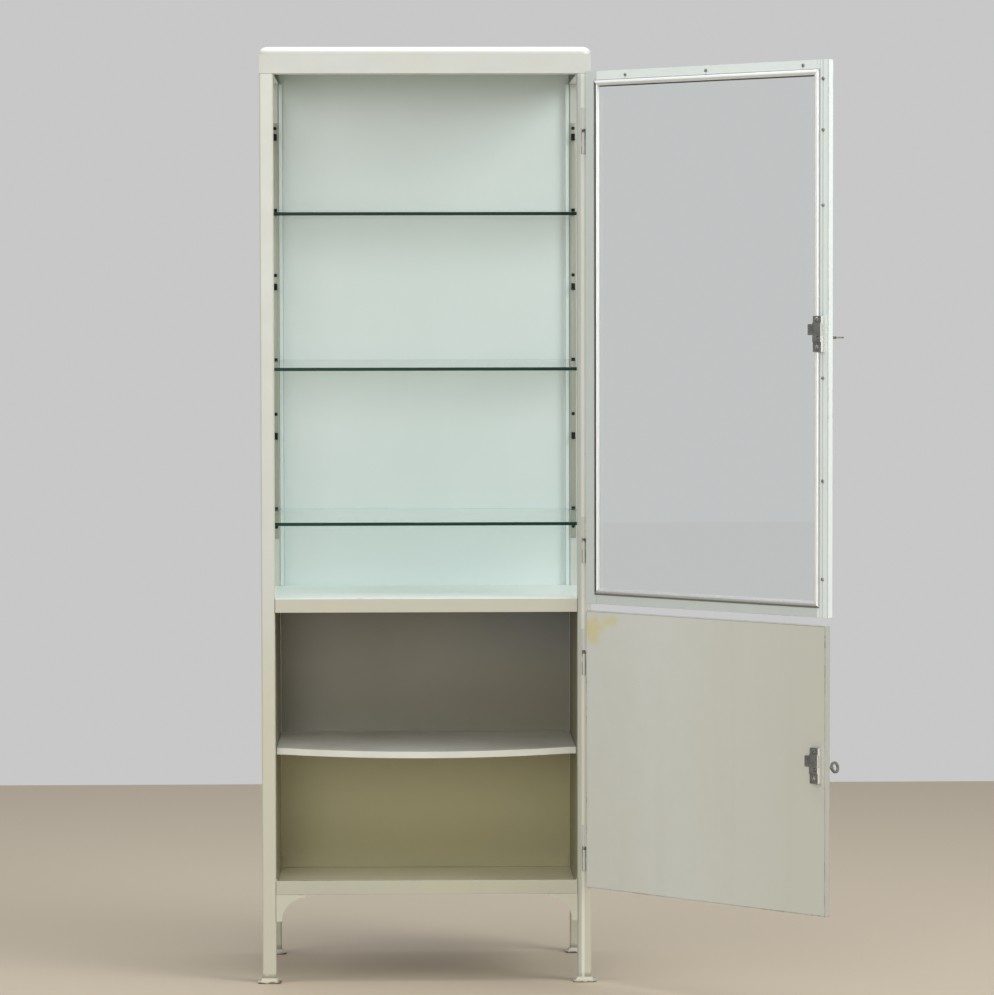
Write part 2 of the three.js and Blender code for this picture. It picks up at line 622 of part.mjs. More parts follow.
// The lock case sits over the bead, which is notched for it
const caseOverBead = slab(
  [doorX[0], LOCK_FREE_X + LOCK_WIDTH + FIT],
  [DOOR_INNER - FIT, LOCK_FACE],
  [UPPER_LOCK_Z - LOCK_HEIGHT / 2 - FIT, UPPER_LOCK_Z + LOCK_HEIGHT / 2 + FIT]);
place(upperDoor, 'top_bead', levelBead(beadZ[1], beadInZ[1]), brightAluminium());
place(upperDoor, 'bottom_bead', levelBead(beadZ[0], beadInZ[0]), brightAluminium());
place(upperDoor, 'hinge_side_bead', uprightBead(beadX[1], beadInX[1]), brightAluminium());
place(upperDoor, 'lock_side_bead', cut(uprightBead(beadX[0], beadInX[0]), caseOverBead), brightAluminium());

// Lower door: an outer skin folded into a tray, closed by an inner skin
const skinX = [doorX[0] + DOOR_SKIN, doorX[1] - DOOR_SKIN];
const skinZ = [LOWER_DOOR_Z[0] + DOOR_SKIN, LOWER_DOOR_Z[1] - DOOR_SKIN];
const outerSkin = cut(
  slab(doorX, doorY, LOWER_DOOR_Z),
  slab(skinX, [DOOR_OUTER + DOOR_SKIN, DOOR_INNER + DOOR_SKIN], skinZ),
  keyhole(LOWER_LOCK_Z));
place(lowerDoor, 'lower_door_skin', outerSkin, enamel());
const innerSkin = cut(
  slab(
    [skinX[0] + FIT, skinX[1] - FIT],
    [DOOR_INNER - DOOR_SKIN, DOOR_INNER],
    [skinZ[0] + FIT, skinZ[1] - FIT],
  ),
  keyhole(LOWER_LOCK_Z));
place(lowerDoor, 'lower_door_lining', innerSkin, oliveEnamel());

// Rim locks: a case on the inside of the door, a sliding bolt and a key from outside
function lockCase(z) {
  const xs = [LOCK_FREE_X, LOCK_FREE_X + LOCK_WIDTH];
  const back = DOOR_INNER + FIT;
  const plate = slab(xs, [back, back + LOCK_LOBE], [z - LOCK_HEIGHT / 2, z + LOCK_HEIGHT / 2]);
  const body = slab(xs, [back, LOCK_FACE], [z + LOCK_BODY_BOTTOM, z + LOCK_BODY_TOP]);
  const boltZ = z + BOLT_RISE;
  const channel = slab(
    [xs[0] - FIT, xs[1] + FIT], [BOLT_Y[0] - FIT, BOLT_Y[1] + FIT],
    [boltZ - BOLT_HEIGHT / 2 - FIT, boltZ + BOLT_HEIGHT / 2 + FIT]);
  const keyZ = z - KEY_DROP;
  const ward = levelRod(KEY_X, [back - FIT, back + WARD_DEPTH], keyZ, WARD_RADIUS);
  const hole = levelRod(KEY_X, [back, LOCK_FACE + FIT], keyZ, KEYHOLE_RADIUS);
  return cut(join(plate, body), channel, ward, hole);
}

function lockBolt(z) {
  const noseX = LOCK_FREE_X + BOLT_SHY;
  const boltZ = z + BOLT_RISE;
  return slab([noseX, noseX + BOLT_LENGTH], BOLT_Y, [boltZ - BOLT_HEIGHT / 2, boltZ + BOLT_HEIGHT / 2]);
}

// The key lies along Y with its bow upright, then turns about its own shaft
function key(z, turn) {
  const bowY = DOOR_OUTER - KEY_REACH;
  const shaft = levelRod(0, [bowY + KEY_BOW_HOLE, DOOR_INNER + KEY_TIP], 0, KEY_RADIUS);
  const ring = new THREE.Shape();
  ring.absarc(bowY, 0, KEY_BOW_RADIUS, 0, Math.PI * 2, false);
  const eye = new THREE.Path();
  eye.absarc(bowY, 0, KEY_BOW_HOLE, 0, Math.PI * 2, true);
  ring.holes.push(eye);
  const bow = extrudeAcross(ring, [-KEY_BOW_SHEET / 2, KEY_BOW_SHEET / 2], ARC_STEPS * 2);
  const bitY = [DOOR_INNER + 3 * FIT, DOOR_INNER + 3 * FIT + KEY_BIT_SHEET];
  const bit = slab([-KEY_BIT_SHEET / 2, KEY_BIT_SHEET / 2], bitY, [-KEY_BIT, 0]);
  const geometry = join(cut(shaft, levelRod(0, [bowY, bowY + KEY_BOW_HOLE], 0, KEY_RADIUS)), bow, bit);
  geometry.rotateY(THREE.MathUtils.degToRad(turn));
  return geometry.translate(KEY_X, 0, z - KEY_DROP);
}

for (const [name, door, z, turn] of LOCKS) {
  place(door, `${name}_lock_case`, lockCase(z), darkSteel());
  place(door, `${name}_lock_bolt`, lockBolt(z), darkSteel());
  place(door, `${name}_key`, key(z, turn), keySteel());
}

// Hinges: a knuckle on the door's edge drops over the pin of a pintle on the post
function doorKnuckle(seamZ) {
  const zs = [seamZ + KNUCKLE_GAP / 2, seamZ + KNUCKLE_HEIGHT];
  const leafX = DOOR_HINGE_EDGE + FIT;
  const barrel = uprightRod(0, 0, zs, KNUCKLE_RADIUS);
  const leaf = slab([leafX, leafX + HINGE_LEAF], [DOOR_OUTER + HINGE_LEAF, DOOR_INNER - FIT], zs);
  const web = slab([leafX + HINGE_LEAF / 2, 0], [-HINGE_WEB / 2, HINGE_WEB / 2], zs);
  const bore = uprightRod(0, 0, [zs[0] - KNUCKLE_GAP, zs[1] - KNUCKLE_ROOF], PIN_RADIUS + PIN_CLEARANCE);
  return cut(join(barrel, leaf, web), bore);
}

function postPintle(seamZ) {
  const zs = [seamZ - KNUCKLE_HEIGHT, seamZ - KNUCKLE_GAP / 2];
  const axisY = -HINGE_STANDOFF;
  const barrel = uprightRod(HINGE_X, axisY, zs, KNUCKLE_RADIUS);
  const tab = slab([HINGE_X, HINGE_X + PINTLE_TAB], [axisY, 0], zs);
  const pin = uprightRod(HINGE_X, axisY, [zs[0], seamZ + PIN_LENGTH], PIN_RADIUS);
  return join(barrel, tab, pin);
}

const hinges = [
  ['upper_door_top', upperDoor, UPPER_DOOR_Z[1] - UPPER_HINGE_MARGIN],
  ['upper_door_bottom', upperDoor, UPPER_DOOR_Z[0] + UPPER_HINGE_FOOT],
  ['lower_door_top', lowerDoor, LOWER_DOOR_Z[1] - LOWER_HINGE_MARGIN],
  ['lower_door_bottom', lowerDoor, LOWER_DOOR_Z[0] + LOWER_HINGE_FOOT],
];
for (const [name, door, seamZ] of hinges) {
  place(door, `${name}_knuckle`, doorKnuckle(seamZ), enamel());
  place(carcass, `${name}_pintle`, postPintle(seamZ), enamel());
}

export default cabinet;
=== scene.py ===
"""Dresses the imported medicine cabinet: enamel, glass, beads, clips, locks, hinges and a plain stage."""

import json
import math

import bmesh
import bpy
from mathutils import Matrix, Vector


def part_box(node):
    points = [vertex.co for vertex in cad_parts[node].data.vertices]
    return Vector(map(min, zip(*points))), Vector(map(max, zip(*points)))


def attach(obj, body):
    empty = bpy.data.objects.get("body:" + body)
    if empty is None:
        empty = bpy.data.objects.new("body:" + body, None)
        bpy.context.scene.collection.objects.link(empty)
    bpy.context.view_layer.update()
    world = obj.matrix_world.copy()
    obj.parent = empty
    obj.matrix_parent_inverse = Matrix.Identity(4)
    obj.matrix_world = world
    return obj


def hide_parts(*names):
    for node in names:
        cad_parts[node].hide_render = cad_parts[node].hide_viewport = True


bl_info = {
    "name": "Glass door medical cabinet",
    "version": (1, 0, 0),
    "blender": (4, 5, 0),
    "location": "View3D > Sidebar > Cabinet",
    "description": "Dresses the packed cabinet with enamel, glass, metal trim and a plain stage",
    "category": "Object",
}

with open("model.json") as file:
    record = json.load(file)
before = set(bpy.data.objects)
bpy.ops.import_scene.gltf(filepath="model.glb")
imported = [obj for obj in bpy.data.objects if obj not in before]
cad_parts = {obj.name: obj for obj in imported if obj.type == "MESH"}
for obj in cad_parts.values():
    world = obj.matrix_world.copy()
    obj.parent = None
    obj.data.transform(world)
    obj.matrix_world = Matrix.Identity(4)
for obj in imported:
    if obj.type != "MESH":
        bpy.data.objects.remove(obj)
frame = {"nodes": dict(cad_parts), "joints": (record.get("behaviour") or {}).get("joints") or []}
NODES = frame["nodes"]
JOINTS = {joint["name"]: joint for joint in frame["joints"]}
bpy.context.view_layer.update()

SIDES = ("left", "right")
CORNERS = [f"{side}_{end}" for side in SIDES for end in ("front", "rear")]
DOORS = ("upper", "lower")
HINGES = [f"{door}_door_{end}" for door in DOORS for end in ("top", "bottom")]
SHELVES = (1, 2, 3)

# Where a finish changes: it starts at the first number and is full at the second.
# Metres above the floor, or along X
LEG_YELLOW = (0.80, 0.50)
LEG_RUST = (0.021, 0.010)
LOWER_BAY = (0.700, 0.680)
BASE_BAY = (0.425, 0.405)
COOL_ACROSS = (0.25, 0.55)
COOL_UP = (0.50, 0.66)
# Metres from the top of the lid, for its painted highlight, and from the top of the middle floor, or from
# the post's inner side, for its painted shade and painted highlight
LID_CROWN = (-0.014, -0.002)
FLOOR_TOP = (-0.0016, -0.0004)
POST_INNER = (0.0075, 0.0035)
POST_STRIPE_RISE = (0.0065, 0.0085)
POST_STRIPE_FALL = (0.0135, 0.0115)
# Metres from the gap between the halves of a hinge
HINGE_CRACK = (0.0042, 0.0022)
# Painted shadow on the back panel below the shelves that stand above a height
SHELF_SHADOW_ABOVE = 1.0
SHELF_SHADOW_RISE = (-0.14, -0.01)
SHELF_SHADOW_FALL = (0.002, -0.002)
# Cosine between a face and the way it has to look
LOOKS_SHARP = (0.85, 0.95)
LOOKS_SOFT = (0.5, 0.9)
LOOKS_BROAD = (0.2, 0.8)
FLANKS = (0.62, 0.82)
# Painted shade lines along the free stile: distance from its edge, half width and depth of tone
STILE_SHADE_LINES = ((0.0015, 0.0012, 0.30), (0.0128, 0.0013, 0.42), (0.0185, 0.0010, 0.35))
LINE_BLUR = 0.0005
# Blots of the stain: in from the hinge, down from the top, half width and half height
STAIN_BLOTS = ((0.010, 0.036, 0.022, 0.034), (0.037, 0.012, 0.019, 0.020))
STAIN_FRAY = 3.2
# How far in from the hinge the lining starts to turn warmer
WARM_FROM = 0.10

# Linear colours of wear and marks, and of painted light and shade
GRIME = (0.45, 0.42, 0.33)
SPECK = (0.16, 0.12, 0.08)
# Painted shade of the steps in the free stile's profile
STILE_SHADE = (0.30, 0.32, 0.31)
# Painted light on the lid: shade down its rim and a highlight on its top
LID_RIM_SHADE = (0.90, 0.90, 0.91)
LID_TOP_HIGHLIGHT = (0.78, 0.79, 0.76)
# Painted shade and painted highlight on the post by the hinges
POST_SHADE = (0.42, 0.45, 0.42)
POST_HIGHLIGHT = (0.86, 0.87, 0.80)
PINTLE_FLANK_DARK = (0.15, 0.145, 0.12)
BAY_PATCH = (0.255, 0.240, 0.180)
BAY_COOL = (0.19, 0.22, 0.225)
# Painted shadow below the upper shelves
SHELF_SHADOW = (0.46, 0.46, 0.43)
LINING_EDGE = (0.47, 0.485, 0.44)
LINING_RUNS = (0.36, 0.35, 0.29)
FLOOR_WHITE = (0.93, 0.95, 0.92)
PAN_YELLOW = (0.96, 0.91, 0.69)
POLISHED = (0.80, 0.80, 0.77)

# Shader roundings and bumps, metres
WEAR_RADIUS = 0.0022
TIGHT_EDGE = 0.0003
METAL_EDGE = 0.0006
ENAMEL_RIPPLE = 0.0006
METAL_SCRATCH = 0.0002
# How much darker the green edge of a shelf goes in its depth
EDGE_DEEP = (0.45, 0.55, 0.55)
GLASS_IOR = 1.45

# Two places nearer than this are the same place, in metres
TOUCH = 1e-5
# Loops this far inside the lid's rounding keep its long faces shading flat
LID_LOOP = 0.002
LID_SEGMENTS = 8

# Each clip is a ledge and an upright: how far out, and from and to which height beside the shelf
CLIP_COUNT = 6
CLIP_HALF = 0.0035
CLIP_STAND = 0.00005
CLIP_BLOCKS = ((0.014, -0.003, 0.0), (0.004, -0.003, 0.0095))
STRIP_ROUND = 0.0006
STRIP_SCREW = {"segments": 16, "radius1": 0.0034, "radius2": 0.0028, "depth": 0.0016}
STRIP_SCREW_STAND = 0.0009
STRIP_SCREW_HEIGHTS = (1.569, 1.292, 1.029, 0.815)

# Screws of the shut door: out from the hinge along the top rail, and heights up the free stile
RAIL_SCREWS = (0.104, 0.293, 0.513)
RAIL_SCREW_DROP = 0.0090
STILE_SCREWS = (1.623, 1.535, 1.406, 1.108, 0.930, 0.760)
STILE_SCREW_INSET = 0.0124
# Screws of a lock: head, plate under it, and distance from the case's top and bottom
LOCK_SCREW_RADIUS = 0.0040
LOCK_PLATE = 0.0080
LOCK_SCREW_TOP = 0.0058
LOCK_SCREW_BOTTOM = 0.0085
# Between the lock case and the ends of the bead
LOCK_CLEARANCE = 0.0004

# The stage: half sizes of the floor, how far it lies below the feet, and what the lights aim at
FLOOR_HALF = (16, 8, 1)
FLOOR_DROP = 0.0002
LIGHT_AIM = (0.3, 0.15, 0.95)
SENSOR_WIDTH = 36.0


class CabinetSizes(bpy.types.PropertyGroup):
    """Sizes of the pieces that are modelled here rather than in the solids"""

    cap_side_radius: bpy.props.FloatProperty(
        name="Cap side radius", description="Rounding of the lid along its left and right top edges",
        default=0.016, subtype="DISTANCE", unit="LENGTH")
    cap_front_radius: bpy.props.FloatProperty(
        name="Cap front radius", description="Rounding of the lid along its front and rear top edges",
        default=0.011, subtype="DISTANCE", unit="LENGTH")
    cap_wall: bpy.props.FloatProperty(
        name="Cap wall", description="Thickness of the lid's rim",
        default=0.002, subtype="DISTANCE", unit="LENGTH")
    shelf_arris: bpy.props.FloatProperty(
        name="Shelf arris", description="Ground chamfer along the edges of the glass shelves",
        default=0.0007, subtype="DISTANCE", unit="LENGTH")
    clip_round: bpy.props.FloatProperty(
        name="Clip rounding", description="Rounding of the shelf clips",
        default=0.0007, subtype="DISTANCE", unit="LENGTH")
    strip_sheet: bpy.props.FloatProperty(
        name="Strip sheet", description="Thickness of the shelf strips",
        default=0.002, subtype="DISTANCE", unit="LENGTH")
    strip_margin: bpy.props.FloatProperty(
        name="Strip margin", description="From the end of a shelf strip to its nearest clip",
        default=0.040, subtype="DISTANCE", unit="LENGTH")
    rear_rise: bpy.props.FloatProperty(
        name="Rear rise", description="How much higher the rear clips sit",
        default=0.010, subtype="DISTANCE", unit="LENGTH")
    screw_radius: bpy.props.FloatProperty(
        name="Screw radius", description="Head radius of the frame screws",
        default=0.0034, subtype="DISTANCE", unit="LENGTH")
    screw_height: bpy.props.FloatProperty(
        name="Screw height", description="How far a screw head stands proud",
        default=0.0014, subtype="DISTANCE", unit="LENGTH")


class CabinetColours(bpy.types.PropertyGroup):
    """Colours of the finishes, as linear values"""

    enamel: bpy.props.FloatVectorProperty(
        name="Enamel", description="Cream enamel of the frame",
        default=(0.605, 0.63, 0.585), subtype="COLOR")
    enamel_aged: bpy.props.FloatVectorProperty(
        name="Aged enamel", description="Where the enamel has yellowed",
        default=(0.58, 0.55, 0.39), subtype="COLOR")
    back_enamel: bpy.props.FloatVectorProperty(
        name="Back enamel", description="Cool white enamel of the back panel",
        default=(0.685, 0.76, 0.745), subtype="COLOR")
    lower_bay: bpy.props.FloatVectorProperty(
        name="Lower bay", description="Discoloured enamel inside the lower bay",
        default=(0.215, 0.195, 0.125), subtype="COLOR")
    base_bay: bpy.props.FloatVectorProperty(
        name="Base bay", description="Yellowed enamel below the steel shelf",
        default=(0.47, 0.435, 0.235), subtype="COLOR")
    steel_shelf: bpy.props.FloatVectorProperty(
        name="Steel shelf", description="Enamel of the steel shelf",
        default=(0.80, 0.81, 0.76), subtype="COLOR")
    door_frame: bpy.props.FloatVectorProperty(
        name="Door frame", description="Grey enamel of the glazed door",
        default=(0.60, 0.665, 0.66), subtype="COLOR")
    rail: bpy.props.FloatVectorProperty(
        name="Rail", description="Enamel of the middle and base rails",
        default=(0.54, 0.535, 0.435), subtype="COLOR")
    lining: bpy.props.FloatVectorProperty(
        name="Lining", description="Greenish grey enamel inside the lower door",
        default=(0.66, 0.69, 0.655), subtype="COLOR")
    lining_warm: bpy.props.FloatVectorProperty(
        name="Warm lining", description="Yellower enamel towards the door's free edge",
        default=(0.60, 0.615, 0.545), subtype="COLOR")
    # Olive grey, darkened as painted shade of the corners the strips stand in
    strip: bpy.props.FloatVectorProperty(
        name="Strip", description="Olive grey enamel of the shelf strips",
        default=(0.37, 0.38, 0.31), subtype="COLOR")
    stain: bpy.props.FloatVectorProperty(
        name="Stain", description="Old yellow varnish stain",
        default=(0.68, 0.62, 0.30), subtype="COLOR")
    rust: bpy.props.FloatVectorProperty(
        name="Rust", description="Rust on the feet",
        default=(0.13, 0.055, 0.025), subtype="COLOR")
    chip: bpy.props.FloatVectorProperty(
        name="Chip", description="Bare dark steel in paint chips",
        default=(0.07, 0.055, 0.04), subtype="COLOR")
    glass: bpy.props.FloatVectorProperty(
        name="Glass", description="Tint of the panes",
        default=(0.92, 0.95, 0.94), subtype="COLOR")
    shelf_glass: bpy.props.FloatVectorProperty(
        name="Shelf glass", description="Tint of the glass shelves",
        default=(0.86, 0.95, 0.92), subtype="COLOR")
    shelf_shade: bpy.props.FloatVectorProperty(
        name="Shelf shade", description="Light that a glass shelf lets by",
        default=(0.85, 0.90, 0.88), subtype="COLOR")
    shelf_edge: bpy.props.FloatVectorProperty(
        name="Shelf edge", description="Green edge of the shelf glass",
        default=(0.006, 0.048, 0.030), subtype="COLOR")
    # Painted light: the rear edge is far paler than the front edge of the same glass, standing in for
    # light seen through the pane
    shelf_rear: bpy.props.FloatVectorProperty(
        name="Shelf rear edge", description="Rear edge of the shelf glass, seen through it",
        default=(0.42, 0.58, 0.53), subtype="COLOR")
    bead: bpy.props.FloatVectorProperty(
        name="Bead", description="Aluminium of the glazing beads",
        default=(0.87, 0.89, 0.89), subtype="COLOR")
    # Painted shadow: strips where the gap beside the bead lies in shade, darker at the top and hinge side
    # than at the foot and lock side
    dark_shadow_strip: bpy.props.FloatVectorProperty(
        name="Dark shadow_strip", description="Putty at the top and the hinge side of the pane",
        default=(0.055, 0.055, 0.045), subtype="COLOR")
    grey_shadow_strip: bpy.props.FloatVectorProperty(
        name="Grey shadow_strip", description="Putty at the foot and the lock side of the pane",
        default=(0.20, 0.21, 0.19), subtype="COLOR")
    lock: bpy.props.FloatVectorProperty(
        name="Lock", description="Dull dark steel of the locks",
        default=(0.19, 0.20, 0.19), subtype="COLOR")
    key: bpy.props.FloatVectorProperty(
        name="Key", description="Worn steel of the keys",
        default=(0.30, 0.30, 0.28), subtype="COLOR")
    clip: bpy.props.FloatVectorProperty(
        name="Clip", description="Blackened steel of the shelf clips",
        default=(0.030, 0.032, 0.030), subtype="COLOR")
    screw: bpy.props.FloatVectorProperty(
        name="Screw", description="Steel of the screw heads",
        default=(0.42, 0.42, 0.40), subtype="COLOR")
    screw_dull: bpy.props.FloatVectorProperty(
        name="Dull screw", description="Tarnish on the screw heads",
        default=(0.25, 0.24, 0.22), subtype="COLOR")
    floor: bpy.props.FloatVectorProperty(
        name="Floor", description="Plain pale floor",
        default=(0.56, 0.48, 0.37), subtype="COLOR")
    backdrop: bpy.props.FloatVectorProperty(
        name="Backdrop", description="Plain grey seen behind",
        default=(0.575, 0.575, 0.580), subtype="COLOR")


class CabinetStage(bpy.types.PropertyGroup):
    """Camera and light"""

    camera_place: bpy.props.FloatVectorProperty(
        name="Camera place", description="Where the camera stands",
        default=(0.2407, -7.7795, 1.2323), subtype="TRANSLATION")
    camera_pitch: bpy.props.FloatProperty(
        name="Camera pitch", description="Downward tilt",
        default=math.radians(2.555), subtype="ANGLE")
    camera_yaw: bpy.props.FloatProperty(
        name="Camera yaw", description="Turn to the right",
        default=math.radians(1.296), subtype="ANGLE")
    camera_roll: bpy.props.FloatProperty(
        name="Camera roll", description="Lean of the camera",
        default=math.radians(-0.103), subtype="ANGLE")
    camera_lens: bpy.props.FloatProperty(
        name="Camera lens", description="Focal length in millimetres on a 36 mm sensor",
        default=155.02)
    ambient: bpy.props.FloatProperty(
        name="Ambient", description="Strength of the light from all round",
        default=0.40)
    key_power: bpy.props.FloatProperty(
        name="Key power", description="Power of the high light on the right",
        default=85.0, unit="POWER")
    fill_power: bpy.props.FloatProperty(
        name="Fill power", description="Power of the high light on the left",
        default=26.0, unit="POWER")
    top_power: bpy.props.FloatProperty(
        name="Top power", description="Power of the light overhead",
        default=62.0, unit="POWER")
    front_power: bpy.props.FloatProperty(
        name="Front power", description="Power of the broad light beside the camera",
        default=78.0, unit="POWER")
    floor_depth: bpy.props.FloatProperty(
        name="Floor depth", description="How far the floor runs behind the front",
        default=3.25, unit="LENGTH")


def sizes():
    """The sizes as they are set."""
    return bpy.context.scene.cabinet_sizes


def colours():
    """The colours as they are set."""
    return bpy.context.scene.cabinet_colours


def stage_settings():
    """The camera and light as they are set."""
    return bpy.context.scene.cabinet_stage


def shade(colour, share):
    """A darker or brighter colour."""
    return [share * part for part in colour]


# Shader helpers

def fill(tree, node, values):
    """Sets a node's inputs: a socket is linked, anything else is typed in, colours with full alpha."""
    for name, value in values.items():
        socket = node.inputs[name]
        if isinstance(value, bpy.types.NodeSocket):
            tree.links.new(value, socket)
        elif socket.type == "RGBA":
            socket.default_value = (*value, 1.0)
        else:
            socket.default_value = value


def add_node(tree, kind, values=None, **options):
    """A node with its options and inputs."""
    node = tree.nodes.new(kind)
    for name, value in options.items():
        setattr(node, name, value)
    fill(tree, node, values or {})
    return node


def maths(tree, operation, first, second=0.0, clamp=False):
    """Arithmetic on two values."""
    values = {0: first, 1: second}
    return add_node(tree, "ShaderNodeMath", values, operation=operation, use_clamp=clamp).outputs[0]


def times(tree, first, second):
    """One mask or share of another."""
    return maths(tree, "MULTIPLY", first, second)


def largest(tree, masks):
    """The largest of several masks at each place."""
    found = masks[0]
    for mask in masks[1:]:
        found = maths(tree, "MAXIMUM", found, mask)
    return found


def away_from(tree, value, middle):
    """How far a value is from a middle, either way."""
    return maths(tree, "ABSOLUTE", maths(tree, "SUBTRACT", value, middle))


def dot(tree, first, second):
    """The dot product of two vectors."""
    values = {0: first, 1: second}
    return add_node(tree, "ShaderNodeVectorMath", values, operation="DOT_PRODUCT").outputs["Value"]


def blend(tree, amount, first, second, kind="MIX"):
    """The first colour where amount is 0, the second where it is 1."""
    values = {0: amount, 6: first, 7: second}
    return add_node(tree, "ShaderNodeMix", values, data_type="RGBA", blend_type=kind).outputs[2]


def ease(tree, value, low, high, base=0.0):
    """0 at low, 1 at high, both counted from base, smooth between; low may be above high."""
    values = {"Value": value, "From Min": base + low, "From Max": base + high}
    return add_node(tree, "ShaderNodeMapRange", values, interpolation_type="SMOOTHSTEP").outputs["Result"]


def band(tree, value, rise, fall, base):
    """1 between a rise and a fall, both counted from base."""
    return times(tree, ease(tree, value, *rise, base), ease(tree, value, *fall, base))


def object_point(tree):
    """The place on the piece, in its own axes."""
    return add_node(tree, "ShaderNodeTexCoord").outputs["Object"]


def noise(tree, scale, detail=3.0, rough=0.5, stretch=None):
    """Cloudy noise in the object's own axes, scaled along them by stretch."""
    point = object_point(tree)
    if stretch:
        point = add_node(tree, "ShaderNodeMapping", {"Vector": point, "Scale": stretch}).outputs["Vector"]
    values = {"Vector": point, "Scale": scale, "Detail": detail, "Roughness": rough}
    return add_node(tree, "ShaderNodeTexNoise", values).outputs["Fac"]


def axes_of(tree):
    """The place on the piece as X, Y and Z."""
    return add_node(tree, "ShaderNodeSeparateXYZ", {"Vector": object_point(tree)}).outputs


def facing(tree, way):
    """1 where the surface looks along way, in the object's own axes."""
    return dot(tree, add_node(tree, "ShaderNodeTexCoord").outputs["Normal"], way)


# Stands for the default of a colour socket
COLOUR = None


def group_tree(name, inputs, outputs):
    """An empty shared effect: its tree, its input sockets and the node for its outputs."""
    tree = bpy.data.node_groups.new(name, "ShaderNodeTree")
    for way, sockets in (("INPUT", inputs), ("OUTPUT", outputs)):
        for socket_name, default in sockets.items():
            kind = "NodeSocketColor" if default is COLOUR else "NodeSocketFloat"
            socket = tree.interface.new_socket(socket_name, in_out=way, socket_type=kind)
            if default is not COLOUR:
                socket.default_value = default
    return tree, tree.nodes.new("NodeGroupInput").outputs, tree.nodes.new("NodeGroupOutput")


def use_group(tree, name, values):
    """What a shared effect makes of the values."""
    return add_node(tree, "ShaderNodeGroup", values, node_tree=bpy.data.node_groups[name]).outputs


def make_age_group():
    """Yellowing in broad clouds, a little grime and fine specks."""
    tree, given, made = group_tree(
        "Enamel age",
        {"Colour": COLOUR, "Aged colour": COLOUR, "Yellowing": 0.3, "Grime": 0.1, "Specks": 0.5,
         "Roughness": 0.4},
        {"Colour": COLOUR, "Roughness": 0.4, "Height": 0.0})
    clouds = ease(tree, noise(tree, 3.1, detail=4.0, rough=0.55, stretch=(1.6, 1.6, 0.7)), 0.38, 0.70)
    yellowing = times(tree, clouds, given["Yellowing"])
    aged = blend(tree, yellowing, given["Colour"], given["Aged colour"])
    grime = ease(tree, noise(tree, 26.0, detail=6.0, rough=0.6), 0.30, 0.75)
    grimy = blend(tree, times(tree, grime, given["Grime"]), aged, GRIME)
    dots = ease(tree, noise(tree, 240.0, detail=2.0), 0.735, 0.775)
    sparse = ease(tree, noise(tree, 9.0, detail=2.0), 0.50, 0.66)
    speck = times(tree, times(tree, dots, sparse), given["Specks"])
    swing = times(tree, maths(tree, "SUBTRACT", grime, 0.5), given["Grime"])
    fill(tree, made, {
        "Colour": blend(tree, speck, grimy, SPECK),
        "Roughness": maths(tree, "ADD", given["Roughness"], swing, clamp=True),
        "Height": noise(tree, 55.0, rough=0.45)})


def make_edge_group():
    """A ragged mask along sharp edges, where enamel chips off."""
    tree, given, made = group_tree("Edge wear", {"Amount": 0.5, "Chip size": 60.0}, {"Mask": 0.0})
    rounded = add_node(tree, "ShaderNodeBevel", {"Radius": WEAR_RADIUS}, samples=6).outputs["Normal"]
    flat = add_node(tree, "ShaderNodeNewGeometry").outputs["True Normal"]
    bend = maths(tree, "SUBTRACT", 1.0, dot(tree, rounded, flat))
    edge = maths(tree, "MULTIPLY", bend, 5.0, clamp=True)
    coarse = ease(tree, noise(tree, 7.0, rough=0.6), 0.47, 0.66)
    fine = ease(tree, noise(tree, given["Chip size"], detail=4.0, rough=0.65), 0.46, 0.60)
    ragged = times(tree, times(tree, edge, coarse), fine)
    fill(tree, made, {"Mask": maths(tree, "MULTIPLY", ragged, given["Amount"], clamp=True)})


def make_rust_group():
    """Rust that creeps up from a height, in blotches."""
    tree, given, made = group_tree("Rust bloom", {"Base": 0.0, "Reach": 0.02}, {"Mask": 0.0})
    above = maths(tree, "SUBTRACT", axes_of(tree)["Z"], given["Base"])
    rise = maths(tree, "DIVIDE", above, given["Reach"])
    near = maths(tree, "SUBTRACT", 1.0, rise, clamp=True)
    bloom = maths(tree, "ADD", noise(tree, 70.0, detail=6.0, rough=0.7), times(tree, near, 0.45))
    fill(tree, made, {"Mask": ease(tree, bloom, 0.62, 0.80)})


def make_metal_group():
    """Fine scratches and smudges on bare metal."""
    tree, given, made = group_tree(
        "Metal wear",
        {"Colour": COLOUR, "Dull colour": COLOUR, "Roughness": 0.35},
        {"Colour": COLOUR, "Roughness": 0.35, "Height": 0.0})
    smudge = ease(tree, noise(tree, 80.0, detail=5.0, rough=0.6), 0.35, 0.70)
    scratch = noise(tree, 900.0, detail=2.0, stretch=(1.0, 1.0, 0.06))
    swing = times(tree, maths(tree, "ADD", smudge, scratch), 0.14)
    fill(tree, made, {
        "Colour": blend(tree, smudge, given["Colour"], given["Dull colour"]),
        "Roughness": maths(tree, "ADD", given["Roughness"], swing, clamp=True),
        "Height": scratch})


def new_material(name):
    """An empty material with its tree and its shader."""
    material = bpy.data.materials.new(name)
    material.use_nodes = True
    return material, material.node_tree, material.node_tree.nodes["Principled BSDF"]


def soft_normal(tree, radius, height, strength, distance):
    """Edges that catch the light as if rounded, with a fine bump."""
    rounded = add_node(tree, "ShaderNodeBevel", {"Radius": radius}, samples=4).outputs["Normal"]
    values = {"Strength": strength, "Distance": distance, "Height": height, "Normal": rounded}
    return add_node(tree, "ShaderNodeBump", values).outputs["Normal"]


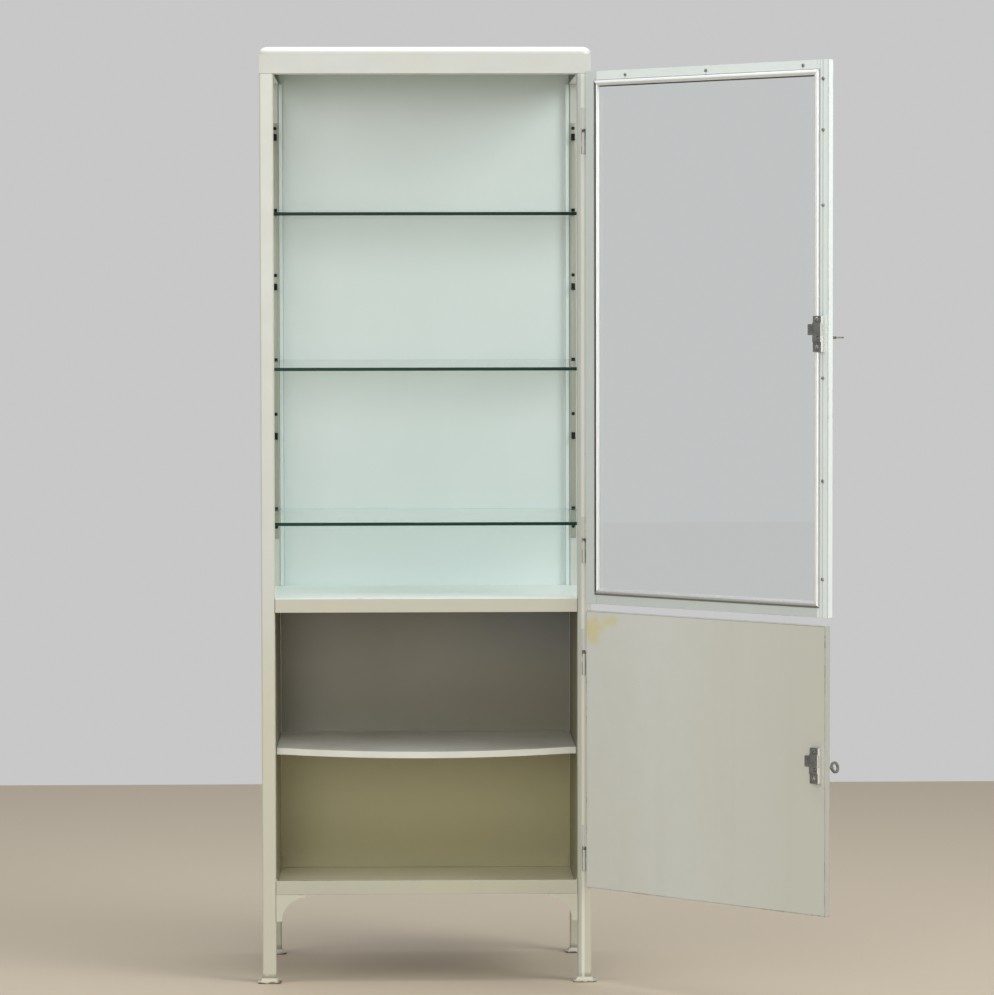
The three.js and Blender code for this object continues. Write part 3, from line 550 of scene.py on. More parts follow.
def enamel_material(name, colour, yellowing=0.35, specks=0.5, wear=0.6, roughness=0.36, patches=None,
                    grime=0.06, soft=0.0012, ripple=0.12):
    """Sprayed enamel; patches takes the tree and the colour, and gives the colour back changed."""
    material, tree, shader = new_material(name)
    tint = colours()
    aged = use_group(tree, "Enamel age", {
        "Colour": colour, "Aged colour": tint.enamel_aged,
        "Yellowing": yellowing, "Grime": grime, "Specks": specks, "Roughness": roughness})
    colour_now = patches(tree, aged["Colour"]) if patches else aged["Colour"]
    chips = use_group(tree, "Edge wear", {"Amount": wear})["Mask"]
    fill(tree, shader, {
        "Base Color": blend(tree, chips, colour_now, tint.chip),
        "Roughness": maths(tree, "ADD", aged["Roughness"], times(tree, chips, 0.3)),
        "Normal": soft_normal(tree, soft, aged["Height"], ripple, ENAMEL_RIPPLE),
        "Coat Weight": 0.15,
        "Coat Roughness": 0.2})
    return material


def rusted_foot(tree, colour):
    """Rust along the sole of a foot."""
    mask = use_group(tree, "Rust bloom", {"Base": -0.001, "Reach": 0.006})["Mask"]
    return blend(tree, mask, colour, colours().rust)


def old_leg(tree, colour):
    """Yellower below the middle rail, rust chips at the foot."""
    z = axes_of(tree)["Z"]
    low = times(tree, ease(tree, z, *LEG_YELLOW), 0.55)
    yellowed = blend(tree, low, colour, colours().enamel_aged)
    mask = use_group(tree, "Rust bloom", {"Base": 0.006, "Reach": 0.024})["Mask"]
    rusted = times(tree, times(tree, mask, ease(tree, z, *LEG_RUST)), 0.5)
    return blend(tree, rusted, yellowed, colours().rust)


def stile_painted_shade(tree, colour):
    """Painted shade: grey lines along the free stile, where its folded profile steps."""
    turn = door_turn("upper")
    free_edge = turn @ Vector((shut_box("lock_stile", "upper")[0].x, 0, 0))
    values = {0: object_point(tree), 1: free_edge}
    from_edge = add_node(tree, "ShaderNodeVectorMath", values, operation="SUBTRACT").outputs["Vector"]
    inward = dot(tree, from_edge, turn.to_3x3() @ Vector((1, 0, 0)))
    for middle, half, depth in STILE_SHADE_LINES:
        line = ease(tree, away_from(tree, inward, middle), half + LINE_BLUR, half - LINE_BLUR)
        colour = blend(tree, times(tree, line, depth), colour, STILE_SHADE)
    return colour


def lid_painted_light(tree, colour):
    """Painted highlight whitens the top; painted shade greys the rim."""
    # Painted highlight on the top and painted shade down the rim
    crown = ease(tree, axes_of(tree)["Z"], *LID_CROWN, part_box("top_cap")[1].z)
    rim = blend(tree, 1.0, colour, LID_RIM_SHADE, "MULTIPLY")
    return blend(tree, crown, rim, LID_TOP_HIGHLIGHT)


def hinge_post_painted_light(tree, colour):
    """The post by the hinges: painted shade greys its inner half, and a painted highlight makes a bright
    stripe beside the doors.
    """
    x = axes_of(tree)["X"]
    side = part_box("right_front_post")[0].x
    # Painted shade on the inner half, then a painted highlight stripe beside the doors
    inner = ease(tree, x, *POST_INNER, side)
    grey = blend(tree, times(tree, inner, 0.75), old_leg(tree, colour), POST_SHADE)
    stripe = band(tree, x, POST_STRIPE_RISE, POST_STRIPE_FALL, side)
    return blend(tree, times(tree, stripe, 0.6), grey, POST_HIGHLIGHT)


def chipped_hinge(tree, colour):
    """Paint cracked off where the two halves of each hinge meet."""
    z = axes_of(tree)["Z"]
    joints = [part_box(f"{hinge}_knuckle")[0].z for hinge in HINGES]
    ring = largest(tree, [ease(tree, away_from(tree, z, joint), *HINGE_CRACK) for joint in joints])
    broken = ease(tree, noise(tree, 190.0, detail=4.0, rough=0.6), 0.36, 0.50)
    return blend(tree, times(tree, ring, broken), colour, colours().chip)


def chipped_pintle(tree, colour):
    """As the hinge, darker in broken patches along both flanks of the barrel."""
    flank = ease(tree, maths(tree, "ABSOLUTE", facing(tree, (1, 0, 0))), *FLANKS)
    broken = ease(tree, noise(tree, 60.0, detail=4.0, rough=0.6), 0.34, 0.52)
    worn = blend(tree, times(tree, flank, broken), colour, PINTLE_FLANK_DARK)
    return chipped_hinge(tree, worn)


def two_bay_back(tree, colour):
    """Cool white above the middle floor, brown grey below it and olive yellow under the steel shelf, with
    a painted shadow below each upper shelf.
    """
    tint = colours()
    axes = axes_of(tree)
    inside = ease(tree, facing(tree, (0, -1, 0)), *LOOKS_BROAD)
    low = times(tree, ease(tree, axes["Z"], *LOWER_BAY), inside)
    patchy = ease(tree, noise(tree, 2.4, detail=4.0, rough=0.6), 0.30, 0.75)
    dark = blend(tree, patchy, tint.lower_bay, BAY_PATCH)
    cool = times(tree, ease(tree, axes["X"], *COOL_ACROSS), ease(tree, axes["Z"], *COOL_UP))
    cooled = blend(tree, times(tree, cool, 0.6), dark, BAY_COOL)
    below = blend(tree, ease(tree, axes["Z"], *BASE_BAY), cooled, tint.base_bay)
    # Painted shadow of each upper shelf, grey on the back panel below it
    for number in SHELVES:
        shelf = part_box(f"glass_shelf_{number}")[1].z
        if shelf > SHELF_SHADOW_ABOVE:
            shelf_shadow = times(tree, band(tree, axes["Z"], SHELF_SHADOW_RISE, SHELF_SHADOW_FALL, shelf), inside)
            colour = blend(tree, times(tree, shelf_shadow, 0.40), colour, SHELF_SHADOW)
    return blend(tree, low, colour, below)


def smudged_shelf(tree, colour):
    """Dark smudges on the steel shelf."""
    patchy = ease(tree, noise(tree, 3.4, detail=4.0, rough=0.6), 0.30, 0.75)
    return blend(tree, times(tree, patchy, 0.25), colour, colours().lower_bay)


def stained_lining(tree, colour):
    """An old varnish stain by the top hinge, a warmer free side and faint runs down the sheet."""
    tint = colours()
    low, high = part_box("lower_door_lining")
    axes = axes_of(tree)
    turn = door_turn("lower").to_3x3()
    blots = []
    for x, z, half_wide, half_tall in STAIN_BLOTS:
        square = 0.0
        for axis, middle, half in (("X", low.x + x, half_wide), ("Z", high.z - z, half_tall)):
            off = maths(tree, "DIVIDE", maths(tree, "SUBTRACT", axes[axis], middle), half)
            square = maths(tree, "ADD", square, times(tree, off, off))
        fray = times(tree, noise(tree, 38.0, detail=6.0, rough=0.7), STAIN_FRAY)
        blots.append(ease(tree, maths(tree, "ADD", square, fray), 2.6, 1.5))
    warm = ease(tree, axes["X"], low.x + WARM_FROM, high.x)
    toned = blend(tree, warm, colour, tint.lining_warm)
    edge = ease(tree, facing(tree, turn @ Vector((-1, 0, 0))), *LOOKS_SHARP)
    edged = blend(tree, edge, toned, LINING_EDGE)
    inner = ease(tree, facing(tree, turn @ Vector((0, 1, 0))), *LOOKS_SOFT)
    stain = times(tree, largest(tree, blots), inner)
    stained = blend(tree, times(tree, stain, 0.7), edged, tint.stain)
    runs = ease(tree, noise(tree, 16.0, stretch=(1.0, 1.0, 0.05)), 0.52, 0.72)
    return blend(tree, times(tree, runs, 0.04), stained, LINING_RUNS)


def white_floor(tree, colour):
    """The middle floor is whiter on top than on its rail."""
    top = ease(tree, axes_of(tree)["Z"], *FLOOR_TOP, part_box("middle_floor")[1].z)
    return blend(tree, top, colour, FLOOR_WHITE)


def yellow_pan(tree, colour):
    """The base pan is paler yellow on its level faces than on its upright ones."""
    inside = ease(tree, facing(tree, (0, 0, 1)), *LOOKS_SOFT)
    return blend(tree, inside, colour, PAN_YELLOW)


def metal_material(name, colour, dull, roughness, scratch=0.1, metallic=1.0, bright_side=None):
    """Bare metal; a face that looks along bright_side is left polished."""
    material, tree, shader = new_material(name)
    worn = use_group(tree, "Metal wear", {
        "Colour": colour, "Dull colour": dull, "Roughness": roughness})
    colour_now = worn["Colour"]
    if bright_side is not None:
        polished = ease(tree, facing(tree, bright_side), *LOOKS_SHARP)
        colour_now = blend(tree, polished, colour_now, POLISHED)
    fill(tree, shader, {
        "Base Color": colour_now,
        "Roughness": worn["Roughness"],
        "Normal": soft_normal(tree, METAL_EDGE, worn["Height"], scratch, METAL_SCRATCH),
        "Metallic": metallic})
    return material


def glass_material(name, tint, let_by):
    """Clear float glass that lets light through to what stands behind it."""
    material, tree, shader = new_material(name)
    smear = ease(tree, noise(tree, 6.0, detail=5.0, rough=0.6), 0.45, 0.80)
    fill(tree, shader, {
        "Base Color": tint,
        "Roughness": times(tree, smear, 0.05),
        "Transmission Weight": 1.0,
        "IOR": GLASS_IOR})
    path = add_node(tree, "ShaderNodeLightPath").outputs
    through = largest(tree, [path["Is Shadow Ray"], path["Is Diffuse Ray"]])
    clear = add_node(tree, "ShaderNodeBsdfTransparent", {"Color": let_by})
    mixed = add_node(tree, "ShaderNodeMixShader", {0: through, 1: shader.outputs[0], 2: clear.outputs[0]})
    fill(tree, tree.nodes["Material Output"], {"Surface": mixed.outputs[0]})
    return material


def edge_glass_material(name, colour):
    """The ground edge of a pane, darker in its depth."""
    material, tree, shader = new_material(name)
    depth = ease(tree, noise(tree, 30.0, stretch=(0.2, 1.0, 6.0)), 0.30, 0.75)
    deep = [part * share for part, share in zip(colour, EDGE_DEEP)]
    fill(tree, shader, {
        "Base Color": blend(tree, depth, colour, deep),
        "Roughness": 0.3,
        "Specular IOR Level": 0.12})
    return material


# Mesh helpers

def block(bm, one, other):
    """A box between two opposite corners; gives its vertices."""
    low = Vector([min(pair) for pair in zip(one, other)])
    high = Vector([max(pair) for pair in zip(one, other)])
    verts = bmesh.ops.create_cube(bm, size=1.0)["verts"]
    bmesh.ops.scale(bm, vec=high - low, verts=verts)
    bmesh.ops.translate(bm, vec=(low + high) / 2, verts=verts)
    return verts


def edges_of(verts):
    """Every edge that touches the vertices, once each."""
    return list(dict.fromkeys(edge for vert in verts for edge in vert.link_edges))


def round_edges(bm, edges, radius, segments=3):
    """Rounds edges over with a small bevel."""
    bmesh.ops.bevel(bm, geom=edges, offset=radius, offset_type="OFFSET", affect="EDGES",
                    segments=segments, profile=0.5, material=-1, clamp_overlap=True)


def cut_across(bm, point, normal):
    """A loop of edges where a plane crosses the mesh."""
    everything = list(bm.verts) + list(bm.edges) + list(bm.faces)
    bmesh.ops.bisect_plane(bm, geom=everything, plane_co=point, plane_no=normal)


def add_object(name, data):
    """A new object in the scene."""
    made = bpy.data.objects.new(name, data)
    bpy.context.scene.collection.objects.link(made)
    return made


def add_mesh(name, bm, materials):
    """A new object from a bmesh, which is freed."""
    mesh = bpy.data.meshes.new(name)
    bm.to_mesh(mesh)
    bm.free()
    for material in materials:
        mesh.materials.append(material)
    return add_object(name, mesh)


def finish_piece(name, bm, materials, body, replaces=(), turn=None, smooth_below=38):
    """A piece that rides on a body; edges flatter than smooth_below degrees shade smooth."""
    if turn is not None:
        bmesh.ops.transform(bm, matrix=turn, verts=bm.verts)
    bmesh.ops.recalc_face_normals(bm, faces=bm.faces)
    piece = add_mesh(name, bm, materials)
    piece.data.shade_smooth()
    piece.data.set_sharp_from_angle(angle=math.radians(smooth_below))
    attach(piece, body)
    if replaces:
        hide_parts(*replaces)
    return piece


def dress(nodes, material):
    """Gives solids of the frame a material."""
    for name in nodes:
        data = NODES[name].data
        data.materials.clear()
        data.materials.append(material)


def door_turn(door):
    """From a door's own shut frame at its hinge pin to where it stands open."""
    joint = JOINTS[f"{door}_door_hinge"]
    x, y, _ = joint["pos_m"]
    return Matrix.Translation((x, y, 0)) @ Matrix.Rotation(-math.radians(joint["range_deg"][0]), 4, "Z")


def shut_box(node, door):
    """A door node's corners in the door's own shut frame."""
    back = door_turn(door).inverted()
    points = [back @ vert.co for vert in NODES[node].data.vertices]
    low = Vector([min(point[axis] for point in points) for axis in range(3)])
    high = Vector([max(point[axis] for point in points) for axis in range(3)])
    return low, high


class CABINET_OT_finishes(bpy.types.Operator):
    """Make the finishes and give them to the cabinet's own solids"""

    bl_idname = "cabinet.finishes"
    bl_label = "Finishes"

    def execute(self, context):
        for make in (make_age_group, make_edge_group, make_rust_group, make_metal_group):
            make()
        self.carcass_enamel()
        self.door_enamel()
        self.glass_and_steel()
        return {"FINISHED"}

    def coat(self, coats):
        """Paints solids; each coat has a name, a colour, its solids and how it looks."""
        for name, colour, nodes, looks in coats:
            dress(nodes, enamel_material(name, colour, **looks))

    def carcass_enamel(self):
        """Paint on everything that stands still."""
        tint = colours()
        legs = [f"{corner}_{part}" for part in ("post", "gusset") for corner in CORNERS]
        legs += [f"{side}_side_panel" for side in SIDES]
        legs.remove("right_front_post")
        feet = [f"{corner}_foot" for corner in CORNERS]
        bays = [f"{side}_{part}" for side in SIDES for part in ("side_lining", "shelf_ledge")]
        frame_look = dict(yellowing=0.22, specks=0.6, wear=0.75, soft=TIGHT_EDGE)
        bay_look = dict(specks=1.0, wear=0.6, roughness=0.42)
        self.coat((
            ("enamel_leg", tint.enamel, legs, dict(frame_look, patches=old_leg)),
            # The post by the hinges carries painted shade and a painted highlight
            ("enamel_hinge_post", tint.enamel, ["right_front_post"],
             dict(frame_look, patches=hinge_post_painted_light)),
            # The lid carries painted light: a highlight on its top and shade down its rim
            ("enamel_lid", tint.enamel, [], dict(frame_look, wear=0.0, patches=lid_painted_light)),
            # The strips' enamel is darkened as painted shade
            ("enamel_strip", tint.strip, [], dict(yellowing=0.2, specks=0.6, wear=0.4)),
            ("enamel_rail", tint.rail, ["middle_floor", "head_frame"],
             dict(yellowing=0.35, specks=0.6, wear=0.7, patches=white_floor)),
            ("enamel_pan", shade(tint.rail, 0.92), ["base_pan"],
             dict(yellowing=0.5, specks=0.8, wear=0.8, patches=yellow_pan)),
            ("enamel_foot", tint.enamel, feet,
             dict(yellowing=1.0, specks=0.8, wear=0.9, roughness=0.5, patches=rusted_foot)),
            ("enamel_back", tint.back_enamel, ["back_panel"],
             dict(yellowing=0.0, specks=0.12, wear=0.3, roughness=0.30, grime=0.01, ripple=0.02,
                  patches=two_bay_back)),
            ("enamel_bay", tint.lower_bay, bays, dict(bay_look, yellowing=0.2)),
            ("enamel_shelf", tint.steel_shelf, ["steel_shelf"],
             dict(bay_look, yellowing=0.25, patches=smudged_shelf)),
        ))

    def door_enamel(self):
        """Paint on the doors and their hinges."""
        tint = colours()
        # Painted light: a brighter copy of the door enamel for the top rail and the lock stile, where
        # more light falls
        bright = shade(tint.door_frame, 1.36)
        door_look = dict(specks=0.4, wear=0.7)
        hinge_look = dict(yellowing=0.30, specks=0.6, wear=0.8)
        knuckles = [f"{hinge}_knuckle" for hinge in HINGES]
        pintles = [f"{hinge}_pintle" for hinge in HINGES]
        self.coat((
            ("enamel_door", tint.door_frame, ["hinge_stile", "bottom_rail"],
             dict(door_look, yellowing=0.10)),
            ("enamel_door_painted_highlight", bright, ["top_rail"], dict(door_look, yellowing=0.05)),
            # The lock stile carries painted shade lines where its profile steps
            ("enamel_lock_stile", bright, ["lock_stile"],
             dict(door_look, yellowing=0.05, patches=stile_painted_shade)),
            ("enamel_lining", tint.lining, ["lower_door_lining", "lower_door_skin"],
             dict(yellowing=0.18, specks=0.35, wear=0.8, roughness=0.42, patches=stained_lining)),
            ("enamel_hinge", tint.enamel, knuckles, dict(hinge_look, patches=chipped_hinge)),
            ("enamel_pintle", tint.enamel, pintles, dict(hinge_look, patches=chipped_pintle)),
        ))

    def glass_and_steel(self):
        """Panes, locks and keys."""
        tint = colours()
        pane = glass_material("pane_glass", tint.glass, tint.glass)
        dress(["left_side_glass", "right_side_glass", "door_glass"], pane)
        free_side = door_turn("upper").to_3x3() @ Vector((-1, 0, 0))
        lock = metal_material("lock_steel", tint.lock, shade(tint.lock, 0.7), roughness=0.42,
                              metallic=0.6, bright_side=free_side)
        dress([f"{door}_lock_{part}" for door in DOORS for part in ("case", "bolt")], lock)
        key = metal_material("key_steel", tint.key, shade(tint.key, 0.6), roughness=0.38)
        dress([f"{door}_key" for door in DOORS], key)


class CABINET_OT_top_cap(bpy.types.Operator):
    """Press the lid with its rounded top edges"""

    bl_idname = "cabinet.top_cap"
    bl_label = "Top cap"

    def execute(self, context):
        size = sizes()
        low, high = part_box("top_cap")
        bm = bmesh.new()
        block(bm, low, high)
        inset = size.cap_side_radius + LID_LOOP
        for axis in (0, 1):
            normal = Matrix.Identity(3)[axis]
            for place in (low[axis] + inset, high[axis] - inset):
                cut_across(bm, normal * place, normal)
        weight = bm.edges.layers.float.new("bevel_weight_edge")
        for edge in bm.edges:
            first, second = (vert.co for vert in edge.verts)
            middle = (first + second) / 2
            if min(first.z, second.z) > high.z - TOUCH:
                if min(middle.x - low.x, high.x - middle.x) < TOUCH:
                    edge[weight] = 1.0
                elif min(middle.y - low.y, high.y - middle.y) < TOUCH:
                    edge[weight] = size.cap_front_radius / size.cap_side_radius
        under = [face for face in bm.faces if max(vert.co.z for vert in face.verts) < low.z + TOUCH]
        bmesh.ops.inset_region(bm, faces=under, thickness=size.cap_wall, use_even_offset=True)
        hollow = high.z - low.z - size.cap_side_radius - size.cap_wall
        roof = list({vert for face in under for vert in face.verts})
        bmesh.ops.translate(bm, vec=(0, 0, hollow), verts=roof)
        paint = bpy.data.materials["enamel_lid"]
        lid = finish_piece("lid", bm, [paint], "cabinet", ["top_cap"])
        rounding = lid.modifiers.new("rounding", "BEVEL")
        rounding.limit_method = "WEIGHT"
        rounding.width = size.cap_side_radius
        rounding.segments = LID_SEGMENTS
        return {"FINISHED"}


class CABINET_OT_shelves(bpy.types.Operator):
    """Cut the glass shelves with ground green edges"""

    bl_idname = "cabinet.shelves"
    bl_label = "Glass shelves"

    # A face whose normal leans further along Y than this is a front or rear edge
    EDGE_LEAN = 0.7
    # Panes keep flat normals, so that they don't refract like bowls
    SMOOTH_BELOW = 10

    def execute(self, context):
        tint = colours()
        pane = glass_material("shelf_glass", tint.shelf_glass, tint.shelf_shade)
        edge = edge_glass_material("shelf_edge", tint.shelf_edge)
        # Painted shade: a darker copy of the green edge for the top shelf
        dark = edge_glass_material("shelf_edge_painted_shade", shade(tint.shelf_edge, 0.5))
        # Painted light: a paler copy of the edge for the rear edges
        rear = edge_glass_material("shelf_edge_rear_painted_light", tint.shelf_rear)
        for number in SHELVES:
            node = f"glass_shelf_{number}"
            low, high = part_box(node)
            points = [vert.co for vert in NODES[node].data.vertices]
            front_top = max(point.z for point in points if point.y < low.y + 10 * TOUCH)
            slope = (high.z - front_top) / (high.y - low.y)
            bm = bmesh.new()
            block(bm, low, (high.x, high.y, front_top))
            for vert in bm.verts:
                vert.co.z += slope * (vert.co.y - low.y)
            round_edges(bm, list(bm.edges), sizes().shelf_arris, segments=2)
            for face in bm.faces:
                lean = face.normal.y
                face.material_index = 1 if lean < -self.EDGE_LEAN else 2 if lean > self.EDGE_LEAN else 0
            finish_piece(f"shelf_pane_{number}", bm, [pane, dark if number == 1 else edge, rear],
                         "cabinet", [node], smooth_below=self.SMOOTH_BELOW)
        return {"FINISHED"}


class CABINET_OT_clips(bpy.types.Operator):
    """Fit the shelf strips, their clips and their screws"""

    bl_idname = "cabinet.clips"
    bl_label = "Shelf clips"

    def execute(self, context):
        tint = colours()
        steel = metal_material("clip_steel", tint.clip, shade(tint.clip, 0.6), roughness=0.5)
        for corner in CORNERS:
            self.standard(corner, steel)
        return {"FINISHED"}

    def standard(self, corner, steel):
        """The strip at a corner with its clips; the rear strips also show their screws."""
        size = sizes()
        node = f"{corner}_standard"
        low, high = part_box(node)
        rear = corner.endswith("rear")
        inward = -1 if rear else 1
        back_y = high.y if rear else low.y
        face_y = back_y + inward * size.strip_sheet
        strip = bmesh.new()
        block(strip, (low.x, back_y, low.z), (high.x, face_y, high.z))
        round_edges(strip, list(strip.edges), STRIP_ROUND, segments=2)
        paint = bpy.data.materials["enamel_strip"]
        finish_piece(f"{corner}_strip", strip, [paint], "cabinet", [node])
        clips = bmesh.new()
        middle = (low.x + high.x) / 2
        first = low.z + size.strip_margin + (size.rear_rise if rear else 0.0)
        pitch = (high.z - low.z - 2 * size.strip_margin) / (CLIP_COUNT - 1)
        for index in range(CLIP_COUNT):
            ledge = first + index * pitch
            for depth, under, over in CLIP_BLOCKS:
                near = (middle - CLIP_HALF, face_y + inward * CLIP_STAND, ledge + under)
                far = (middle + CLIP_HALF, face_y + inward * depth, ledge + over)
                round_edges(clips, edges_of(block(clips, near, far)), size.clip_round, segments=2)
        if rear:
            lie = Matrix.Rotation(math.pi / 2, 4, "X")
            for z in STRIP_SCREW_HEIGHTS:
                head = bmesh.ops.create_cone(clips, cap_ends=True, **STRIP_SCREW)["verts"]
                place = Matrix.Translation((middle, face_y - STRIP_SCREW_STAND, z))
                bmesh.ops.transform(clips, matrix=place @ lie, verts=head)
        finish_piece(f"{corner}_clips", clips, [steel], "cabinet")


class CABINET_OT_beads(bpy.types.Operator):
    """Run the moulded aluminium beads round the door pane"""

    bl_idname = "cabinet.beads"
    bl_label = "Glazing beads"

    # Where each bead and its painted shadow strip start and end, as shares of the bead's own width
    LAYOUT = {
        "top_bead": (-0.17, 0.86, 0.86, 1.10),
        "bottom_bead": (0.10, 1.08, -0.18, 0.10),
        "hinge_side_bead": (0.40, 0.92, -0.25, 0.40),
        "lock_side_bead": (-0.05, 1.30, -0.17, -0.05),
    }
    # Profiles of bead and painted shadow strip: shares of the way across and of the height
    NOSE = ((0.0, 0.0), (0.0, 0.45), (0.05, 0.62), (0.13, 0.80), (0.24, 0.93), (0.38, 1.0),
            (0.52, 1.0), (0.66, 0.90), (0.80, 0.72), (0.92, 0.52), (1.0, 0.36), (1.0, 0.0))
    FLAT = ((0.0, 0.0), (0.0, 0.22), (1.0, 0.22), (1.0, 0.0))

    def execute(self, context):
        tint = colours()
        look = {"scratch": 0.0, "metallic": 0.55}
        bright = metal_material("bead_aluminium", tint.bead, shade(tint.bead, 0.97), roughness=0.30,
                                **look)
        # Painted shade: a darker copy of the aluminium for the bottom bead
        dull = metal_material("bead_painted_shade", shade(tint.bead, 0.70), shade(tint.bead, 0.66), roughness=0.36,
                              **look)
        plain = {"yellowing": 0.0, "specks": 0.0, "wear": 0.0, "roughness": 0.7}
        # Painted shadow strips in the gap by the bead: dark at the top and hinge side, grey at the foot
        # and lock side
        dark = enamel_material("dark_shadow_strip", tint.dark_shadow_strip, **plain)
        grey = enamel_material("grey_shadow_strip", tint.grey_shadow_strip, **plain)
        turn = door_turn("upper")
        for node, (start, end, line_from, line_to) in self.LAYOUT.items():
            bm = bmesh.new()
            self.moulding(bm, node, start, end, self.NOSE)
            if node == "lock_side_bead":
                self.gap_at_lock(bm)
            # The bottom bead takes the darker copy, as painted shade
            metal = dull if node == "bottom_bead" else bright
            name = node.replace("bead", "moulding")
            finish_piece(name, bm, [metal], "upper_door", [node], turn)
            # A strip of painted shadow beside the bead
            line = bmesh.new()
            self.moulding(line, node, line_from, line_to, self.FLAT)
            shadow_strip = grey if node in ("bottom_bead", "lock_side_bead") else dark
            name = node.replace("bead", "shadow_strip")
            finish_piece(name, line, [shadow_strip], "upper_door", turn=turn)
        return {"FINISHED"}

    def moulding(self, bm, node, start, end, profile):
        """A mitred length of a profile, in the door's shut frame."""
        low, high = shut_box(node, "upper")
        level = node in ("top_bead", "bottom_bead")
        from_high = node in ("top_bead", "hinge_side_bead")
        across_axis, along_axis = (2, 0) if level else (0, 2)
        width = high[across_axis] - low[across_axis]
        outer = (high if from_high else low)[across_axis]
        inward = -1 if from_high else 1
        rings = []
        for stop, lean in ((low[along_axis], 1), (high[along_axis], -1)):
            ring = []
            for share, rise in profile:
                reach = (start + share * (end - start)) * width
                across = outer + inward * reach
                along = stop + lean * reach
                y = low.y + rise * (high.y - low.y)
                ring.append(bm.verts.new((along, y, across) if level else (across, y, along)))
            bm.faces.new(ring)
            rings.append(ring)
        loops = [bm.edges.get((ring[i], ring[i - 1])) for ring in rings for i in range(len(ring))]
        bmesh.ops.bridge_loops(bm, edges=loops)

    def gap_at_lock(self, bm):
        """Breaks the bead where the lock case stands."""
        low, high = shut_box("upper_lock_case", "upper")
        for z in (low.z - LOCK_CLEARANCE, high.z + LOCK_CLEARANCE):
            cut_across(bm, (0, 0, z), (0, 0, 1))
        middle = [face for face in bm.faces if low.z < face.calc_center_median().z < high.z]
        bmesh.ops.delete(bm, geom=middle, context="FACES")
        bmesh.ops.holes_fill(bm, edges=[edge for edge in bm.edges if edge.is_boundary], sides=0)


class CABINET_OT_screws(bpy.types.Operator):
    """Drive the screws of the door frame and the locks"""

    bl_idname = "cabinet.screws"
    bl_label = "Screws"

    # The slot of a screw: half length and half width by the radius, floor and top by the height
    SLOT_HALF = (0.85, 0.13)
    SLOT_HEIGHT = (0.3, 0.53)
    # Share of the height that is domed
    DOME = 0.9
    # How each slot is turned, degrees: a step from one frame screw to the next, and both screws of a lock
    FRAME_SPIN = 35
    LOCK_SPINS = (40, 110)

    def execute(self, context):
        tint = colours()
        steel = metal_material("screw_steel", tint.screw, tint.screw_dull, roughness=0.35)
        finish = [steel, bpy.data.materials["clip_steel"]]
        rail = shut_box("top_rail", "upper")[1]
        stile_x = shut_box("lock_stile", "upper")[0].x + STILE_SCREW_INSET
        spots = [(-reach, rail.z - RAIL_SCREW_DROP) for reach in RAIL_SCREWS]
        spots += [(stile_x, z) for z in STILE_SCREWS]
        bm = bmesh.new()
        for index, (x, z) in enumerate(spots):
            self.screw(bm, Vector((x, rail.y, z)), sizes().screw_radius, self.FRAME_SPIN * index)
        finish_piece("frame_screws", bm, finish, "upper_door", turn=door_turn("upper"))
        for door in DOORS:
            low, high = shut_box(f"{door}_lock_case", door)
            middle = (low.x + high.x) / 2
            bm = bmesh.new()
            for z, spin in zip((high.z - LOCK_SCREW_TOP, low.z + LOCK_SCREW_BOTTOM), self.LOCK_SPINS):
                place = Vector((middle, low.y + LOCK_PLATE, z))
                self.screw(bm, place, LOCK_SCREW_RADIUS, spin)
            finish_piece(f"{door}_lock_screws", bm, finish, f"{door}_door",
                         turn=door_turn(door))
        return {"FINISHED"}

    def screw(self, bm, place, radius, degrees):
        """A domed slotted head facing +Y."""
        height = sizes().screw_height
        verts = bmesh.ops.create_cone(bm, cap_ends=True, segments=20, radius1=radius, radius2=radius,
                                      depth=height)["verts"]
        crown = [edge for edge in edges_of(verts) if min(vert.co.z for vert in edge.verts) > 0]
        before = set(bm.verts)
        round_edges(bm, crown, height * self.DOME)
        shaped = [vert for vert in bm.verts if vert in verts or vert not in before]
        long, wide = (radius * share for share in self.SLOT_HALF)
        floor, top = (height * share for share in self.SLOT_HEIGHT)
        cut = block(bm, (-long, -wide, floor), (long, wide, top))
        for face in {face for vert in cut for face in vert.link_faces}:
            face.material_index = 1
        stand = Matrix.Translation(place + Vector((0, height / 2, 0)))
        lie = Matrix.Rotation(-math.pi / 2, 4, "X")
        spin = Matrix.Rotation(math.radians(degrees), 4, "Z")
        bmesh.ops.transform(bm, matrix=stand @ lie @ spin, verts=shaped + cut)


